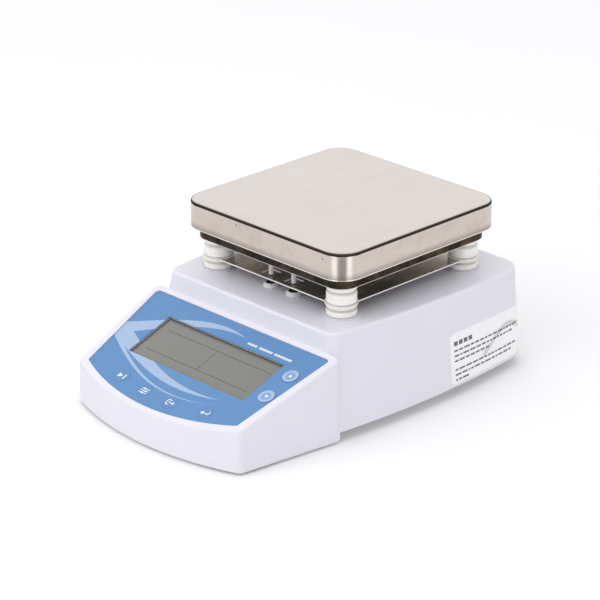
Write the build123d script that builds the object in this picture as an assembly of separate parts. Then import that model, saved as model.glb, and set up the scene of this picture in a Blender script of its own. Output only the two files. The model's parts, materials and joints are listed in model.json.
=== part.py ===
from build123d import *

import math
import os

# Magnetic stirrer with a heated square plate on four ceramic standoffs and a sloping console.
# Millimetres. Origin on the floor under the middle of the footprint, +Z up.
# The console faces -Y, the mains inlet faces +Y, +X is the operator's right hand.

# ---- Driving dimensions -------------------------------------------------------------------

PLATE_SIDE = 140.0          # square heated plate
PLATE_TOP_Z = 112.0         # working surface above the floor
PLATE_Y = 39.65             # plate centre, behind the middle of the footprint
STANDOFF_PITCH = 107.0      # square pattern of the four standoffs

HOUSING_TOP_Z = 66.0
BODY_BOTTOM_Z = 7.0         # lower edge of the rear block
CONSOLE_BOTTOM_Z = 1.5      # lower edge of the console, a little lower
WALL = 2.8                  # moulded wall thickness

# Rear block, lower and upper outline: (half width, y) of the right side's front, middle and
# rear, then the radii of the front and rear corners
BODY_FOOTPRINT = ((80.4, PLATE_Y - 88.0), (85.9, PLATE_Y - 3.0), (78.5, PLATE_Y + 89.0), 8.0, 18.0)
BODY_CROWN = ((71.3, PLATE_Y - 79.5), (79.3, PLATE_Y + 10.0), (76.5, PLATE_Y + 84.0), 8.0, 14.0)
BODY_TOP_EDGE_R = 2.0
BODY_FRONT_EDGE_R = 4.5

# Plan of the console at its lower edge
CONSOLE_DRAFT = 1.5
CONSOLE_REAR = (82.2, PLATE_Y - 78.5)
CONSOLE_FRONT = (71.9, PLATE_Y - 154.5)
CONSOLE_APEX_Y = PLATE_Y - 168.35
CONSOLE_FRONT_CORNER_R = 4.5
CONSOLE_REAR_CORNER_R = 6.0
CONSOLE_TOP_EDGE_R = 1.7
CONSOLE_BOTTOM_EDGE_R = 0.8
CONSOLE_HEEL_R = 3.6

# Sloping panel: the plane of the printed overlay's top face
PANEL_SLOPE = 0.358
PANEL_ANGLE = math.degrees(math.atan(PANEL_SLOPE))
PANEL_BACK_Y = PLATE_Y - 85.0
PANEL_BACK_Z = 52.3
RIM_HEIGHT = 0.7            # rim stands above the overlay
DECK_THICKNESS = 2.3

# Overlay outline in the panel plane, v measured down the slope from its back edge
OVERLAY_THICKNESS = 0.5
OVERLAY_BACK_HALF = 75.6
OVERLAY_FRONT_HALF = 65.65
OVERLAY_CORNER_V = -69.9
OVERLAY_APEX_V = -84.0
OVERLAY_BACK_CORNER_R = 2.5
OVERLAY_FRONT_CORNER_R = 1.0
OVERLAY_GAP = 0.15

# Display window in the panel plane
WINDOW_CENTRE = (1.7, -33.35)
WINDOW_SIZE = (101.0, 35.9)
WINDOW_DEPTH = 1.3

# Keys: name, centre in the panel plane, radius of the pad, height above the overlay
ARROW_R = 5.3
FUNCTION_R = 5.0
KEYS = [
    ("key_up", (63.1, -21.5), ARROW_R, 0.25),
    ("key_down", (62.6, -41.9), ARROW_R, 0.25),
    ("key_start", (-34.2, -70.5), FUNCTION_R, 0.05),
    ("key_set", (-10.7, -73.8), FUNCTION_R, 0.05),
    ("key_exit", (12.5, -73.9), FUNCTION_R, 0.05),
    ("key_enter", (39.0, -70.2), FUNCTION_R, 0.05),
]
KEY_GAP = 0.12
KEY_FLANGE_R = 1.3          # flange stands out past the pad by this much
KEY_FLANGE_TOP = -3.1
KEY_FLANGE_BOTTOM = -4.1
KEY_STEM_R = 1.5
KEY_STEM_END = -8.2
SWITCH_HOLE_R = 1.8
SWITCH_HOLE_DEPTH = 1.6
SWITCH_SIDE = 6.0
SWITCH_HEIGHT = 3.5
BOARD_TOP_W = -11.2         # control board under the deck, along the panel's normal
BOARD_THICKNESS = 1.6
BOARD_SIZE = (140.0, 72.0)
BOARD_TAPER = 11.0          # the board's front edge is narrower by this much at each end
BOARD_CENTRE_V = -43.0

# Heated plate
PAN_CORNER_R = 15.0
PAN_EDGE_R = 2.5
PAN_SKIRT = 18.0
PAN_SHEET = 1.2
LOWER_PAN_INSET = 5.0
LOWER_PAN_BOTTOM_Z = PLATE_TOP_Z - 26.0
LOWER_PAN_CORNER_R = 11.0
SPREADER_THICKNESS = 5.0
COIL_TUBE_R = 2.5
COIL_FIRST_R = 15.0
COIL_PITCH = 7.0
COIL_HALF_TURNS = 10
INSULATION_THICKNESS = 9.0

# Standoffs and heat shield
SHIELD_TOP_Z = PLATE_TOP_Z - 37.4
SHIELD_SHEET = 0.8
SHIELD_SIDE = 120.0
SHIELD_LUG_R = 10.3
SHIELD_OPENING = 9.0        # square opening round each lead
INSULATOR_R = 9.4
INSULATOR_NECK_R = 8.2
UPPER_NECK_DROP = 3.6       # middle of the upper spool's groove below its top
LOWER_NECK_DROP = 2.6
WASHER_R = 10.9
WASHER_THICKNESS = 0.8
STUD_R = 2.0
STUD_HOLE_R = 2.3

# Heater leads and their bushes in the housing's top
LEAD_X = (-8.4, 11.4)
LEAD_Y = PLATE_Y - 52.0
LEAD_TOP_Z = LOWER_PAN_BOTTOM_Z + 13.0
LEAD_BOTTOM_Z = HOUSING_TOP_Z - 18.0
LEAD_R = 1.5
LEAD_BORE_R = 1.6
BUSH_R = 4.0
BUSH_COLLAR_R = 4.8
BUSH_COLLAR_HEIGHT = 2.4
BUSH_MOUTH_R = 3.0

# Base and feet
BASE_BOTTOM_Z = 7.0
BASE_SHEET = 1.6
BASE_TOP_Z = BASE_BOTTOM_Z + BASE_SHEET
BASE_INSET = 3.3
FOOT_R = 10.0
FOOT_BOTTOM_R = 9.0
FRONT_FOOT = (56.0, PLATE_Y - 142.0)
REAR_FOOT = (54.0, PLATE_Y + 60.0)
BOSS_R = 4.0
BOSS_SCREWS = [(68.0, PLATE_Y + 66.0), (66.5, PLATE_Y - 70.0)]
SCREW_R = 1.5
SCREW_HEAD_R = 2.8
SCREW_HEAD_HEIGHT = 1.8

# Stirring drive
MOTOR_R = 24.0
MOTOR_BOTTOM_Z = 15.0
MOTOR_TOP_Z = 41.0
MOTOR_WALL = 1.5
SHAFT_R = 3.0
SHAFT_BORE_R = 3.05
BEARING_R = 6.0
BRACKET_SHEET = 2.0
GROMMET_HEIGHT = 3.0
MAGNET_SPACING = 46.0
MAGNET_R = 11.0
MAGNET_BOTTOM_Z = 54.5
MAGNET_HEIGHT = 6.0
CARRIER_THICKNESS = 4.0

# Rear connector panel
REAR_FACE_Y = PLATE_Y + 81.5   # outer face of the connector plate
REAR_SHEET = 1.5
REAR_OPENING = (112.0, 34.0)
REAR_CENTRE_Z = 29.0
INLET_X = -30.0
SWITCH_X = 38.0
PROBE_X = 6.0
FLANGE_THICKNESS = 2.2
INLET_CAVITY = (24.6, 16.6)
INLET_DEPTH = 16.0
INLET_CAVITY_Z = 33.3
DRAWER_SIZE = (24.0, 7.0)
DRAWER_Z = 20.1
DRAWER_DEPTH = 17.0
ROCKER_REST_TILT = 7.0
ROCKER_PIVOT_DEPTH = 3.0    # pivot behind the bezel's face
ROCKER_PIN_R = 1.0
ROCKER_PIN_BORE_R = 1.06

PANEL = Plane(
    origin=(0, PANEL_BACK_Y, PANEL_BACK_Z),
    x_dir=(1, 0, 0),
    z_dir=(0, -math.sin(math.radians(PANEL_ANGLE)), math.cos(math.radians(PANEL_ANGLE))),
)
CORNERS = {
    "front_left": (-1, -1),
    "front_right": (1, -1),
    "rear_left": (-1, 1),
    "rear_right": (1, 1),
}
REACH = 400.0               # longer than any part, for cutting tools


# ---- Small helpers ------------------------------------------------------------------------

def block(x0, x1, y0, y1, z0, z1):
    """Box between two opposite corners."""
    centre = ((x0 + x1) / 2, (y0 + y1) / 2, (z0 + z1) / 2)
    return Pos(*centre) * Box(x1 - x0, y1 - y0, z1 - z0)


def post(x, y, z0, z1, radius):
    """Upright cylinder from z0 to z1."""
    return Pos(x, y, (z0 + z1) / 2) * Cylinder(radius, z1 - z0)


def rear_post(x, z, y0, y1, radius):
    """Cylinder along Y from y0 to y1."""
    return Pos(x, (y0 + y1) / 2, z) * Rot(90, 0, 0) * Cylinder(radius, y1 - y0)


def turned(profile):
    """Solid of revolution about Z from (radius, z) points."""
    outline = Plane.XZ * make_face(Polyline(*profile, close=True))
    return revolve(outline, Axis.Z)


def standoff_centre(corner):
    """Place of one standoff in plan."""
    side_x, side_y = CORNERS[corner]
    return side_x * STANDOFF_PITCH / 2, PLATE_Y + side_y * STANDOFF_PITCH / 2


def panel_disc(centre, radius, low, high):
    """Disc on the sloping panel, low and high along its normal."""
    u, v = centre
    return PANEL * Pos(u, v, (low + high) / 2) * Cylinder(radius, high - low)


def panel_box(centre, size, low, high):
    """Rectangular block on the sloping panel."""
    u, v = centre
    return PANEL * Pos(u, v, (low + high) / 2) * Box(size[0], size[1], high - low)


def corner_tool(corner_y, corner_z, lean, radius, side_y, side_z):
    """Prism along X that rounds the edge where a wall leaning by `lean` degrees meets a level face."""
    lean = math.radians(lean)
    reach = radius / math.tan((math.pi / 2 + lean) / 2)
    level = (corner_y - side_y * reach, corner_z)
    wall = (corner_y + side_y * reach * math.sin(lean), corner_z - side_z * reach * math.cos(lean))
    centre = (level[0], corner_z - side_z * radius)
    to_corner = math.hypot(corner_y - centre[0], corner_z - centre[1])
    middle = (
        centre[0] + (corner_y - centre[0]) * radius / to_corner,
        centre[1] + (corner_z - centre[1]) * radius / to_corner,
    )
    far_y = corner_y + side_y * 2 * radius
    far_z = corner_z + side_z * 2 * radius
    edges = ThreePointArc(level, middle, wall)
    edges += Polyline(wall, (far_y, wall[1]), (far_y, far_z), (level[0], far_z), level)
    return extrude(Plane.YZ * make_face(edges), amount=REACH / 2, both=True)


# ---- Housing ------------------------------------------------------------------------------

def body_plan(front, middle, rear, front_corner_r, rear_corner_r):
    """Outline of the rear block: straight front and back, bulged sides, rounded corners."""
    right = [front, middle, rear]
    left = [(-x, y) for x, y in reversed(right)]
    edges = Line(left[2], right[0])
    edges += ThreePointArc(*right)
    edges += Line(right[2], left[0])
    edges += ThreePointArc(*left)
    plan = make_face(edges)
    front_corners = plan.vertices().group_by(Axis.Y)[0]
    plan = fillet(front_corners, front_corner_r)
    rear_corners = plan.vertices().group_by(Axis.Y)[-1]
    return fillet(rear_corners, rear_corner_r)


def body_block(inset):
    """Rear block between its two outlines, with its walls set in by `inset`."""
    sections = []
    for outline, z in ((BODY_FOOTPRINT, BODY_BOTTOM_Z), (BODY_CROWN, HOUSING_TOP_Z)):
        plan = body_plan(*outline)
        sections.append(Pos(0, 0, z) * (offset(plan, -inset) if inset else plan))
    return loft(sections, ruled=True)


def console_plan(rear_y):
    """Plan of the console: tapering sides and a bowed front."""
    slope = (CONSOLE_REAR[0] - CONSOLE_FRONT[0]) / (CONSOLE_REAR[1] - CONSOLE_FRONT[1])
    rear_half = CONSOLE_REAR[0] + slope * (rear_y - CONSOLE_REAR[1])
    front_half, corner_y = CONSOLE_FRONT
    edges = Line((front_half, corner_y), (rear_half, rear_y))
    edges += Line((rear_half, rear_y), (-rear_half, rear_y))
    edges += Line((-rear_half, rear_y), (-front_half, corner_y))
    edges += ThreePointArc((-front_half, corner_y), (0, CONSOLE_APEX_Y), (front_half, corner_y))
    plan = make_face(edges)
    front_corners = plan.vertices().group_by(Axis.Y)[0]
    plan = fillet(front_corners, CONSOLE_FRONT_CORNER_R)
    rear_corners = plan.vertices().group_by(Axis.Y)[-1]
    return fillet(rear_corners, CONSOLE_REAR_CORNER_R)


def raised(plan, bottom_z, top_z, draft):
    """Drafted block standing on a plan."""
    return extrude(Pos(0, 0, bottom_z) * plan, amount=top_z - bottom_z, taper=draft)


def above_panel(height):
    """Everything above a plane parallel to the panel."""
    return PANEL * Pos(0, 0, height + REACH / 2) * Box(REACH, REACH, REACH)


def outer_body():
    """Outside of the rear block with its rounded top edges."""
    body = body_block(0)
    body = fillet(body.faces().sort_by(Axis.Z)[-1].edges(), BODY_TOP_EDGE_R)
    foot_y, top_y = BODY_FOOTPRINT[0][1], BODY_CROWN[0][1]
    lean = math.degrees(math.atan2(top_y - foot_y, HOUSING_TOP_Z - BODY_BOTTOM_Z))
    return body - corner_tool(top_y, HOUSING_TOP_Z, lean, BODY_FRONT_EDGE_R, -1, 1)


def outer_console():
    """Outside of the console, cut to the rim's plane."""
    console = raised(console_plan(CONSOLE_REAR[1]), CONSOLE_BOTTOM_Z, HOUSING_TOP_Z, CONSOLE_DRAFT)
    console -= above_panel(RIM_HEIGHT)
    console = fillet(console.faces().sort_by(Axis.Z)[-1].edges(), CONSOLE_TOP_EDGE_R)
    console = fillet(console.faces().sort_by(Axis.Z)[0].edges(), CONSOLE_BOTTOM_EDGE_R)
    return console - corner_tool(CONSOLE_REAR[1], CONSOLE_BOTTOM_Z, 0, CONSOLE_HEEL_R, 1, -1)


def hollow():
    """Inside space of the housing, open at the bottom."""
    body = body_block(WALL) & block(-REACH, REACH, -REACH, REACH, 0, HOUSING_TOP_Z - WALL)
    console = offset(console_plan(CONSOLE_REAR[1] + 10), -WALL)
    console = raised(console, CONSOLE_BOTTOM_Z, HOUSING_TOP_Z, CONSOLE_DRAFT)
    console -= above_panel(-OVERLAY_THICKNESS - DECK_THICKNESS)
    console &= block(-REACH, REACH, -REACH, BODY_FOOTPRINT[0][1] + 2 * WALL, 0, REACH)
    below_body = offset(body_plan(*BODY_FOOTPRINT), -WALL)
    below_body = Pos(0, 0, BODY_BOTTOM_Z) * extrude(below_body, amount=-BODY_BOTTOM_Z)
    below_console = offset(console_plan(CONSOLE_REAR[1]), -WALL)
    below_console = Pos(0, 0, CONSOLE_BOTTOM_Z) * extrude(below_console, amount=-CONSOLE_BOTTOM_Z)
    return body + console + below_body + below_console


def overlay_plan(growth=0.0):
    """Outline of the printed overlay in the panel plane."""
    back = OVERLAY_BACK_HALF
    front = OVERLAY_FRONT_HALF
    edges = Line((front, OVERLAY_CORNER_V), (back, 0))
    edges += Line((back, 0), (-back, 0))
    edges += Line((-back, 0), (-front, OVERLAY_CORNER_V))
    edges += ThreePointArc((-front, OVERLAY_CORNER_V), (0, OVERLAY_APEX_V), (front, OVERLAY_CORNER_V))
    plan = make_face(edges)
    plan = fillet(plan.vertices().group_by(Axis.Y)[-1], OVERLAY_BACK_CORNER_R)
    plan = fillet(plan.vertices().group_by(Axis.Y)[0], OVERLAY_FRONT_CORNER_R)
    return offset(plan, growth) if growth else plan


def on_panel(plan, low, high):
    """Slab on the sloping panel from a plan in its plane."""
    return PANEL * Pos(0, 0, low) * extrude(plan, amount=high - low)


def upper_housing():
    """White moulded shell: rear block and console in one piece."""
    shell = outer_body() + outer_console()
    shell -= hollow()
    shell -= on_panel(overlay_plan(OVERLAY_GAP), -OVERLAY_THICKNESS, 10)
    shell -= panel_box(WINDOW_CENTRE, (WINDOW_SIZE[0] + 0.4, WINDOW_SIZE[1] + 0.4), -10, 10)
    for _, centre, radius, _ in KEYS:
        shell -= panel_disc(centre, radius + KEY_GAP, -10, 10)
    for x, y in BOSS_SCREWS:
        for side in (-1, 1):
            boss = post(side * x, y, BASE_TOP_Z, HOUSING_TOP_Z - WALL / 2, BOSS_R)
            boss &= outer_body()
            shell += boss - post(side * x, y, 0, BASE_TOP_Z + 9, SCREW_R)
    for corner in CORNERS:
        x, y = standoff_centre(corner)
        shell -= post(x, y, HOUSING_TOP_Z - 10, HOUSING_TOP_Z + 10, STUD_HOLE_R)
    for x in LEAD_X:
        shell -= post(x, LEAD_Y, HOUSING_TOP_Z - 10, HOUSING_TOP_Z + 10, BUSH_R)
    width, height = REAR_OPENING
    opening = Pos(0, PLATE_Y + 85, REAR_CENTRE_Z) * Box(width, 30, height)
    shell -= fillet(opening.edges().filter_by(Axis.Y), 3)
    return shell


# ---- Base ---------------------------------------------------------------------------------

def base_plan():
    """Plan of the base sheet, a clearance inside the housing's lower edge."""
    body = offset(body_plan(*BODY_FOOTPRINT), -BASE_INSET)
    console = offset(console_plan(CONSOLE_REAR[1]), -BASE_INSET)
    return body + console


def foot_places():
    """The four feet, by corner name."""
    places = {}
    for corner, (side_x, side_y) in CORNERS.items():
        x, y = FRONT_FOOT if side_y < 0 else REAR_FOOT
        places[corner] = (side_x * x, y)
    return places


def base_plate():
    """Steel sheet that closes the bottom, with cooling slots."""
    plate = extrude(Pos(0, 0, BASE_BOTTOM_Z) * base_plan(), amount=BASE_SHEET)
    for row_y in (PLATE_Y - 42, PLATE_Y + 42):
        for step in range(-4, 5):
            slot = SlotOverall(18, 3, rotation=90)
            plate -= extrude(Pos(step * 8.0, row_y, BASE_BOTTOM_Z) * slot, amount=2 * BASE_SHEET)
    for x, y in BOSS_SCREWS:
        for side in (-1, 1):
            plate -= post(side * x, y, 0, 20, SCREW_R + 0.1)
    for x, y in foot_places().values():
        plate -= post(x, y, 0, 20, SCREW_R + 0.1)
    return plate


def foot(x, y):
    """Rubber foot, a cupped cone held by a screw through its middle."""
    profile = [
        (SCREW_R + 0.1, BASE_BOTTOM_Z),
        (SCREW_R + 0.1, 4.2),
        (4.0, 4.2),
        (4.0, 0.0),
        (FOOT_BOTTOM_R - 0.8, 0.0),
        (FOOT_BOTTOM_R, 0.8),
        (FOOT_R, BASE_BOTTOM_Z),
    ]
    return Pos(x, y, 0) * turned(profile)


def pan_screw(x, y, head_z, tip_z):
    """Pan-head screw with its head at the lower end and a cross recess."""
    head = post(x, y, head_z, head_z + SCREW_HEAD_HEIGHT, SCREW_HEAD_R)
    head = fillet(head.edges().group_by(Axis.Z)[0], 0.7)
    shank = post(x, y, head_z + SCREW_HEAD_HEIGHT, tip_z, SCREW_R)
    recess = Box(3.0, 0.7, 1.6) + Box(0.7, 3.0, 1.6)
    return head + shank - Pos(x, y, head_z) * recess


def base_screws():
    """Four screws into the housing's bosses and four through the feet."""
    screws = []
    for x, y in BOSS_SCREWS:
        for side in (-1, 1):
            head_z = BASE_BOTTOM_Z - SCREW_HEAD_HEIGHT
            screws.append(pan_screw(side * x, y, head_z, BASE_TOP_Z + 8))
    for x, y in foot_places().values():
        screws.append(pan_screw(x, y, 4.2 - SCREW_HEAD_HEIGHT, BASE_TOP_Z + 3))
    return Compound(screws)


# ---- Console ------------------------------------------------------------------------------

def panel_overlay():
    """Printed overlay with the window and the key openings cut out."""
    sheet = on_panel(overlay_plan(), -OVERLAY_THICKNESS, 0)
    sheet -= panel_box(WINDOW_CENTRE, WINDOW_SIZE, -5, 5)
    for _, centre, radius, _ in KEYS:
        sheet -= panel_disc(centre, radius + KEY_GAP, -5, 5)
    return sheet


def key(centre, radius, height):
    """Key pad with a retaining flange and the stem that works its switch."""
    pad = panel_disc(centre, radius, KEY_FLANGE_TOP, height)
    flange = panel_disc(centre, radius + KEY_FLANGE_R, KEY_FLANGE_BOTTOM, KEY_FLANGE_TOP)
    stem = panel_disc(centre, KEY_STEM_R, KEY_STEM_END, KEY_FLANGE_BOTTOM)
    return pad + flange + stem


def key_switches():
    """One push switch under each key, on the control board."""
    switches = []
    top = BOARD_TOP_W + SWITCH_HEIGHT
    for _, centre, _, _ in KEYS:
        switch = panel_box(centre, (SWITCH_SIDE, SWITCH_SIDE), BOARD_TOP_W, top)
        switches.append(switch - panel_disc(centre, SWITCH_HOLE_R, top - SWITCH_HOLE_DEPTH, top + 1))
    return Compound(switches)


def board_posts():
    """Places of the control board's four screws in the panel plane."""
    u = BOARD_SIZE[0] / 2 - 8
    v = BOARD_SIZE[1] / 2 - 4
    return [(-u, BOARD_CENTRE_V + v), (u, BOARD_CENTRE_V + v), (-u + 8, BOARD_CENTRE_V - v + 8),
            (u - 8, BOARD_CENTRE_V - v + 8)]


def control_board():
    """Printed circuit board that carries the display and the switches."""
    half = BOARD_SIZE[0] / 2
    front = BOARD_CENTRE_V - BOARD_SIZE[1] / 2
    back = BOARD_CENTRE_V + BOARD_SIZE[1] / 2
    front_half = half - BOARD_TAPER
    outline = Polyline((-half, back), (half, back), (front_half, front), (-front_half, front), close=True)
    low = BOARD_TOP_W - BOARD_THICKNESS
    board = on_panel(make_face(outline), low, BOARD_TOP_W)
    for centre in board_posts():
        board -= panel_disc(centre, SCREW_R + 0.1, low - 1, BOARD_TOP_W + 1)
    return board


def board_screws():
    """Four spacers with screws that hang the control board from the deck."""
    under_deck = -OVERLAY_THICKNESS - DECK_THICKNESS
    screws = []
    for centre in board_posts():
        spacer = panel_disc(centre, 3.0, BOARD_TOP_W, under_deck)
        shank = panel_disc(centre, SCREW_R, BOARD_TOP_W - BOARD_THICKNESS, BOARD_TOP_W)
        head_top = BOARD_TOP_W - BOARD_THICKNESS
        head = panel_disc(centre, SCREW_HEAD_R, head_top - SCREW_HEAD_HEIGHT, head_top)
        screws.append(spacer + shank + head)
    return Compound(screws)


def display_cell():
    """Liquid crystal cell, a little below the overlay's face."""
    return panel_box(WINDOW_CENTRE, WINDOW_SIZE, -WINDOW_DEPTH - 2.2, -WINDOW_DEPTH)


def display_frame():
    """Tray that carries the cell above the control board."""
    low = BOARD_TOP_W
    high = -OVERLAY_THICKNESS - DECK_THICKNESS - 0.1
    cell_bottom = -WINDOW_DEPTH - 2.2
    frame = panel_box(WINDOW_CENTRE, (WINDOW_SIZE[0] + 6, WINDOW_SIZE[1] + 4), low, high)
    frame -= panel_box(WINDOW_CENTRE, WINDOW_SIZE, cell_bottom, high + 1)
    frame -= panel_box(WINDOW_CENTRE, (WINDOW_SIZE[0] - 6, WINDOW_SIZE[1] - 6), low + 1.5, high + 1)
    return frame


# ---- Heated plate -------------------------------------------------------------------------

def rounded_slab(side, radius, z0, z1):
    """Square slab centred on the plate, with rounded corners."""
    plan = RectangleRounded(side, side, radius)
    return extrude(Pos(0, PLATE_Y, z0) * plan, amount=z1 - z0)


def top_pan():
    """Stainless steel pan turned upside down: the working surface and its skirt."""
    bottom = PLATE_TOP_Z - PAN_SKIRT
    pan = rounded_slab(PLATE_SIDE, PAN_CORNER_R, bottom, PLATE_TOP_Z)
    pan = fillet(pan.faces().sort_by(Axis.Z)[-1].edges(), PAN_EDGE_R)
    inner_side = PLATE_SIDE - 2 * PAN_SHEET
    inner = rounded_slab(inner_side, PAN_CORNER_R - PAN_SHEET, bottom - 1, PLATE_TOP_Z - PAN_SHEET)
    inner = fillet(inner.faces().sort_by(Axis.Z)[-1].edges(), PAN_EDGE_R - PAN_SHEET)
    return pan - inner


def lower_pan():
    """Tray under the heater, set in from the skirt, with holes for the leads and studs."""
    side = PLATE_SIDE - 2 * LOWER_PAN_INSET
    top = PLATE_TOP_Z - PAN_SHEET - 6.0
    tray = rounded_slab(side, LOWER_PAN_CORNER_R, LOWER_PAN_BOTTOM_Z, top)
    tray = fillet(tray.faces().sort_by(Axis.Z)[0].edges(), 1.2)
    floor = LOWER_PAN_BOTTOM_Z + PAN_SHEET
    tray -= rounded_slab(side - 2 * PAN_SHEET, LOWER_PAN_CORNER_R - PAN_SHEET, floor, top + 1)
    for corner in CORNERS:
        x, y = standoff_centre(corner)
        tray -= post(x, y, floor - 5, floor + 1, STUD_R + 0.05)
    for x in LEAD_X:
        tray -= post(x, LEAD_Y, floor - 5, floor + 1, LEAD_R + 0.3)
    return tray


def heat_spreader():
    """Aluminium plate under the working surface."""
    top = PLATE_TOP_Z - PAN_SHEET
    return rounded_slab(PLATE_SIDE - 14, PAN_CORNER_R - 5, top - SPREADER_THICKNESS, top)


def heating_coil():
    """Sheathed element wound as a spiral of half circles, each a half pitch wider."""
    z = PLATE_TOP_Z - PAN_SHEET - SPREADER_THICKNESS - COIL_TUBE_R
    path = None
    x_start = COIL_FIRST_R
    for turn in range(COIL_HALF_TURNS):
        side = 1 if turn % 2 == 0 else -1
        radius = COIL_FIRST_R + turn * COIL_PITCH / 2
        x_end = x_start - side * 2 * radius
        middle = ((x_start + x_end) / 2, side * radius)
        arc = ThreePointArc((x_start, 0), middle, (x_end, 0))
        path = arc if path is None else path + arc
        x_start = x_end
    path = Pos(0, PLATE_Y, z) * path
    section = Plane(origin=path @ 0, z_dir=path % 0) * Circle(COIL_TUBE_R)
    return sweep(section, path=path)


def insulation_board():
    """Ceramic fibre board between the element and the tray."""
    top = PLATE_TOP_Z - PAN_SHEET - SPREADER_THICKNESS - 2 * COIL_TUBE_R
    side = PLATE_SIDE - 2 * LOWER_PAN_INSET - 2 * PAN_SHEET - 1
    board = rounded_slab(side, LOWER_PAN_CORNER_R - PAN_SHEET, top - INSULATION_THICKNESS, top)
    for x in LEAD_X:
        board -= post(x, LEAD_Y, 0, top + 1, LEAD_R + 0.3)
    return board


def plate_sensor():
    """Temperature sensor in a small tube, against the spreader in the middle of the coil."""
    z = PLATE_TOP_Z - PAN_SHEET - SPREADER_THICKNESS - 1.5
    return Pos(0, PLATE_Y, z) * Rot(0, 90, 0) * Cylinder(1.5, 16)


# ---- Standoffs ----------------------------------------------------------------------------

def upper_insulator(corner):
    """Ceramic spool between the tray and the heat shield."""
    low, high = SHIELD_TOP_Z, LOWER_PAN_BOTTOM_Z
    neck = high - UPPER_NECK_DROP
    profile = [
        (STUD_HOLE_R, low),
        (INSULATOR_R - 1.0, low),
        (INSULATOR_R, low + 1.2),
        (INSULATOR_R, neck - 1.4),
        (INSULATOR_NECK_R, neck - 0.3),
        (INSULATOR_NECK_R, neck + 0.3),
        (INSULATOR_R, neck + 1.4),
        (INSULATOR_R, high - 0.8),
        (INSULATOR_R - 0.8, high),
        (STUD_HOLE_R, high),
    ]
    x, y = standoff_centre(corner)
    return Pos(x, y, 0) * turned(profile)


def lower_insulator(corner):
    """Ceramic spool between the heat shield and the housing."""
    low, high = HOUSING_TOP_Z + WASHER_THICKNESS, SHIELD_TOP_Z - SHIELD_SHEET
    neck = high - LOWER_NECK_DROP
    profile = [
        (STUD_HOLE_R, low),
        (INSULATOR_R - 0.7, low),
        (INSULATOR_R, low + 0.8),
        (INSULATOR_R, neck - 1.2),
        (INSULATOR_NECK_R, neck - 0.4),
        (INSULATOR_NECK_R, neck + 0.4),
        (INSULATOR_R, neck + 1.2),
        (INSULATOR_R, high - 0.6),
        (INSULATOR_R - 0.6, high),
        (STUD_HOLE_R, high),
    ]
    x, y = standoff_centre(corner)
    return Pos(x, y, 0) * turned(profile)


def heat_shield():
    """Polished steel sheet halfway down the standoffs: round corner lugs, square lead openings."""
    low = SHIELD_TOP_Z - SHIELD_SHEET
    sheet = rounded_slab(SHIELD_SIDE, 2.0, low, SHIELD_TOP_Z)
    for corner in CORNERS:
        x, y = standoff_centre(corner)
        sheet += post(x, y, low, SHIELD_TOP_Z, SHIELD_LUG_R)
    for corner in CORNERS:
        x, y = standoff_centre(corner)
        sheet -= post(x, y, low - 1, SHIELD_TOP_Z + 1, STUD_HOLE_R)
    for x in LEAD_X:
        sheet -= Pos(x, LEAD_Y, low) * Box(SHIELD_OPENING, SHIELD_OPENING, 4 * SHIELD_SHEET)
    return sheet


def standoff_studs():
    """Four threaded studs from the tray down through the housing's top."""
    studs = []
    floor = LOWER_PAN_BOTTOM_Z + PAN_SHEET
    for corner in CORNERS:
        x, y = standoff_centre(corner)
        stud = post(x, y, HOUSING_TOP_Z - WALL - 7, floor, STUD_R)
        studs.append(stud + post(x, y, floor, floor + 2.5, 3.5))
    return Compound(studs)


def standoff_nuts():
    """Hexagon nuts under the housing's top."""
    nuts = []
    high = HOUSING_TOP_Z - WALL
    for corner in CORNERS:
        x, y = standoff_centre(corner)
        nut = extrude(Pos(x, y, high - 3.2) * RegularPolygon(3.5, 6, major_radius=False), amount=3.2)
        nuts.append(nut - post(x, y, high - 4, high + 1, STUD_R))
    return Compound(nuts)


def standoff_washers():
    """Silicone washers under the lower insulators."""
    washers = []
    for corner in CORNERS:
        x, y = standoff_centre(corner)
        washer = post(x, y, HOUSING_TOP_Z, HOUSING_TOP_Z + WASHER_THICKNESS, WASHER_R)
        washer = fillet(washer.edges().group_by(Axis.Z)[-1], 0.35)
        washers.append(washer - post(x, y, HOUSING_TOP_Z - 1, HOUSING_TOP_Z + 2, STUD_HOLE_R))
    return Compound(washers)


def lead_bush(x):
    """Flanged bush in the housing's top with a wide mouth for the lead."""
    low = HOUSING_TOP_Z - WALL - 2
    high = HOUSING_TOP_Z + BUSH_COLLAR_HEIGHT
    profile = [
        (LEAD_BORE_R, low),
        (BUSH_R - 0.1, low),
        (BUSH_R - 0.1, HOUSING_TOP_Z),
        (BUSH_COLLAR_R, HOUSING_TOP_Z),
        (BUSH_COLLAR_R, high - 0.9),
        (BUSH_COLLAR_R - 0.8, high),
        (BUSH_MOUTH_R + 0.3, high),
        (BUSH_MOUTH_R, high - 0.3),
        (BUSH_MOUTH_R, HOUSING_TOP_Z - 1),
        (LEAD_BORE_R, HOUSING_TOP_Z - 1),
    ]
    return Pos(x, LEAD_Y, 0) * turned(profile)


def heater_lead(x):
    """Sleeved lead from inside the housing up to the element."""
    return post(x, LEAD_Y, LEAD_BOTTOM_Z, LEAD_TOP_Z, LEAD_R)


# ---- Stirring drive -----------------------------------------------------------------------

def motor_can():
    """Closed steel can with a bearing seat at each end."""
    can = post(0, PLATE_Y, MOTOR_BOTTOM_Z, MOTOR_TOP_Z, MOTOR_R)
    can = fillet(can.edges(), 1.0)
    inner = MOTOR_R - MOTOR_WALL
    can -= post(0, PLATE_Y, MOTOR_BOTTOM_Z + MOTOR_WALL, MOTOR_TOP_Z - MOTOR_WALL, inner)
    return can - post(0, PLATE_Y, MOTOR_BOTTOM_Z - 1, MOTOR_TOP_Z + 1, BEARING_R)


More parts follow.
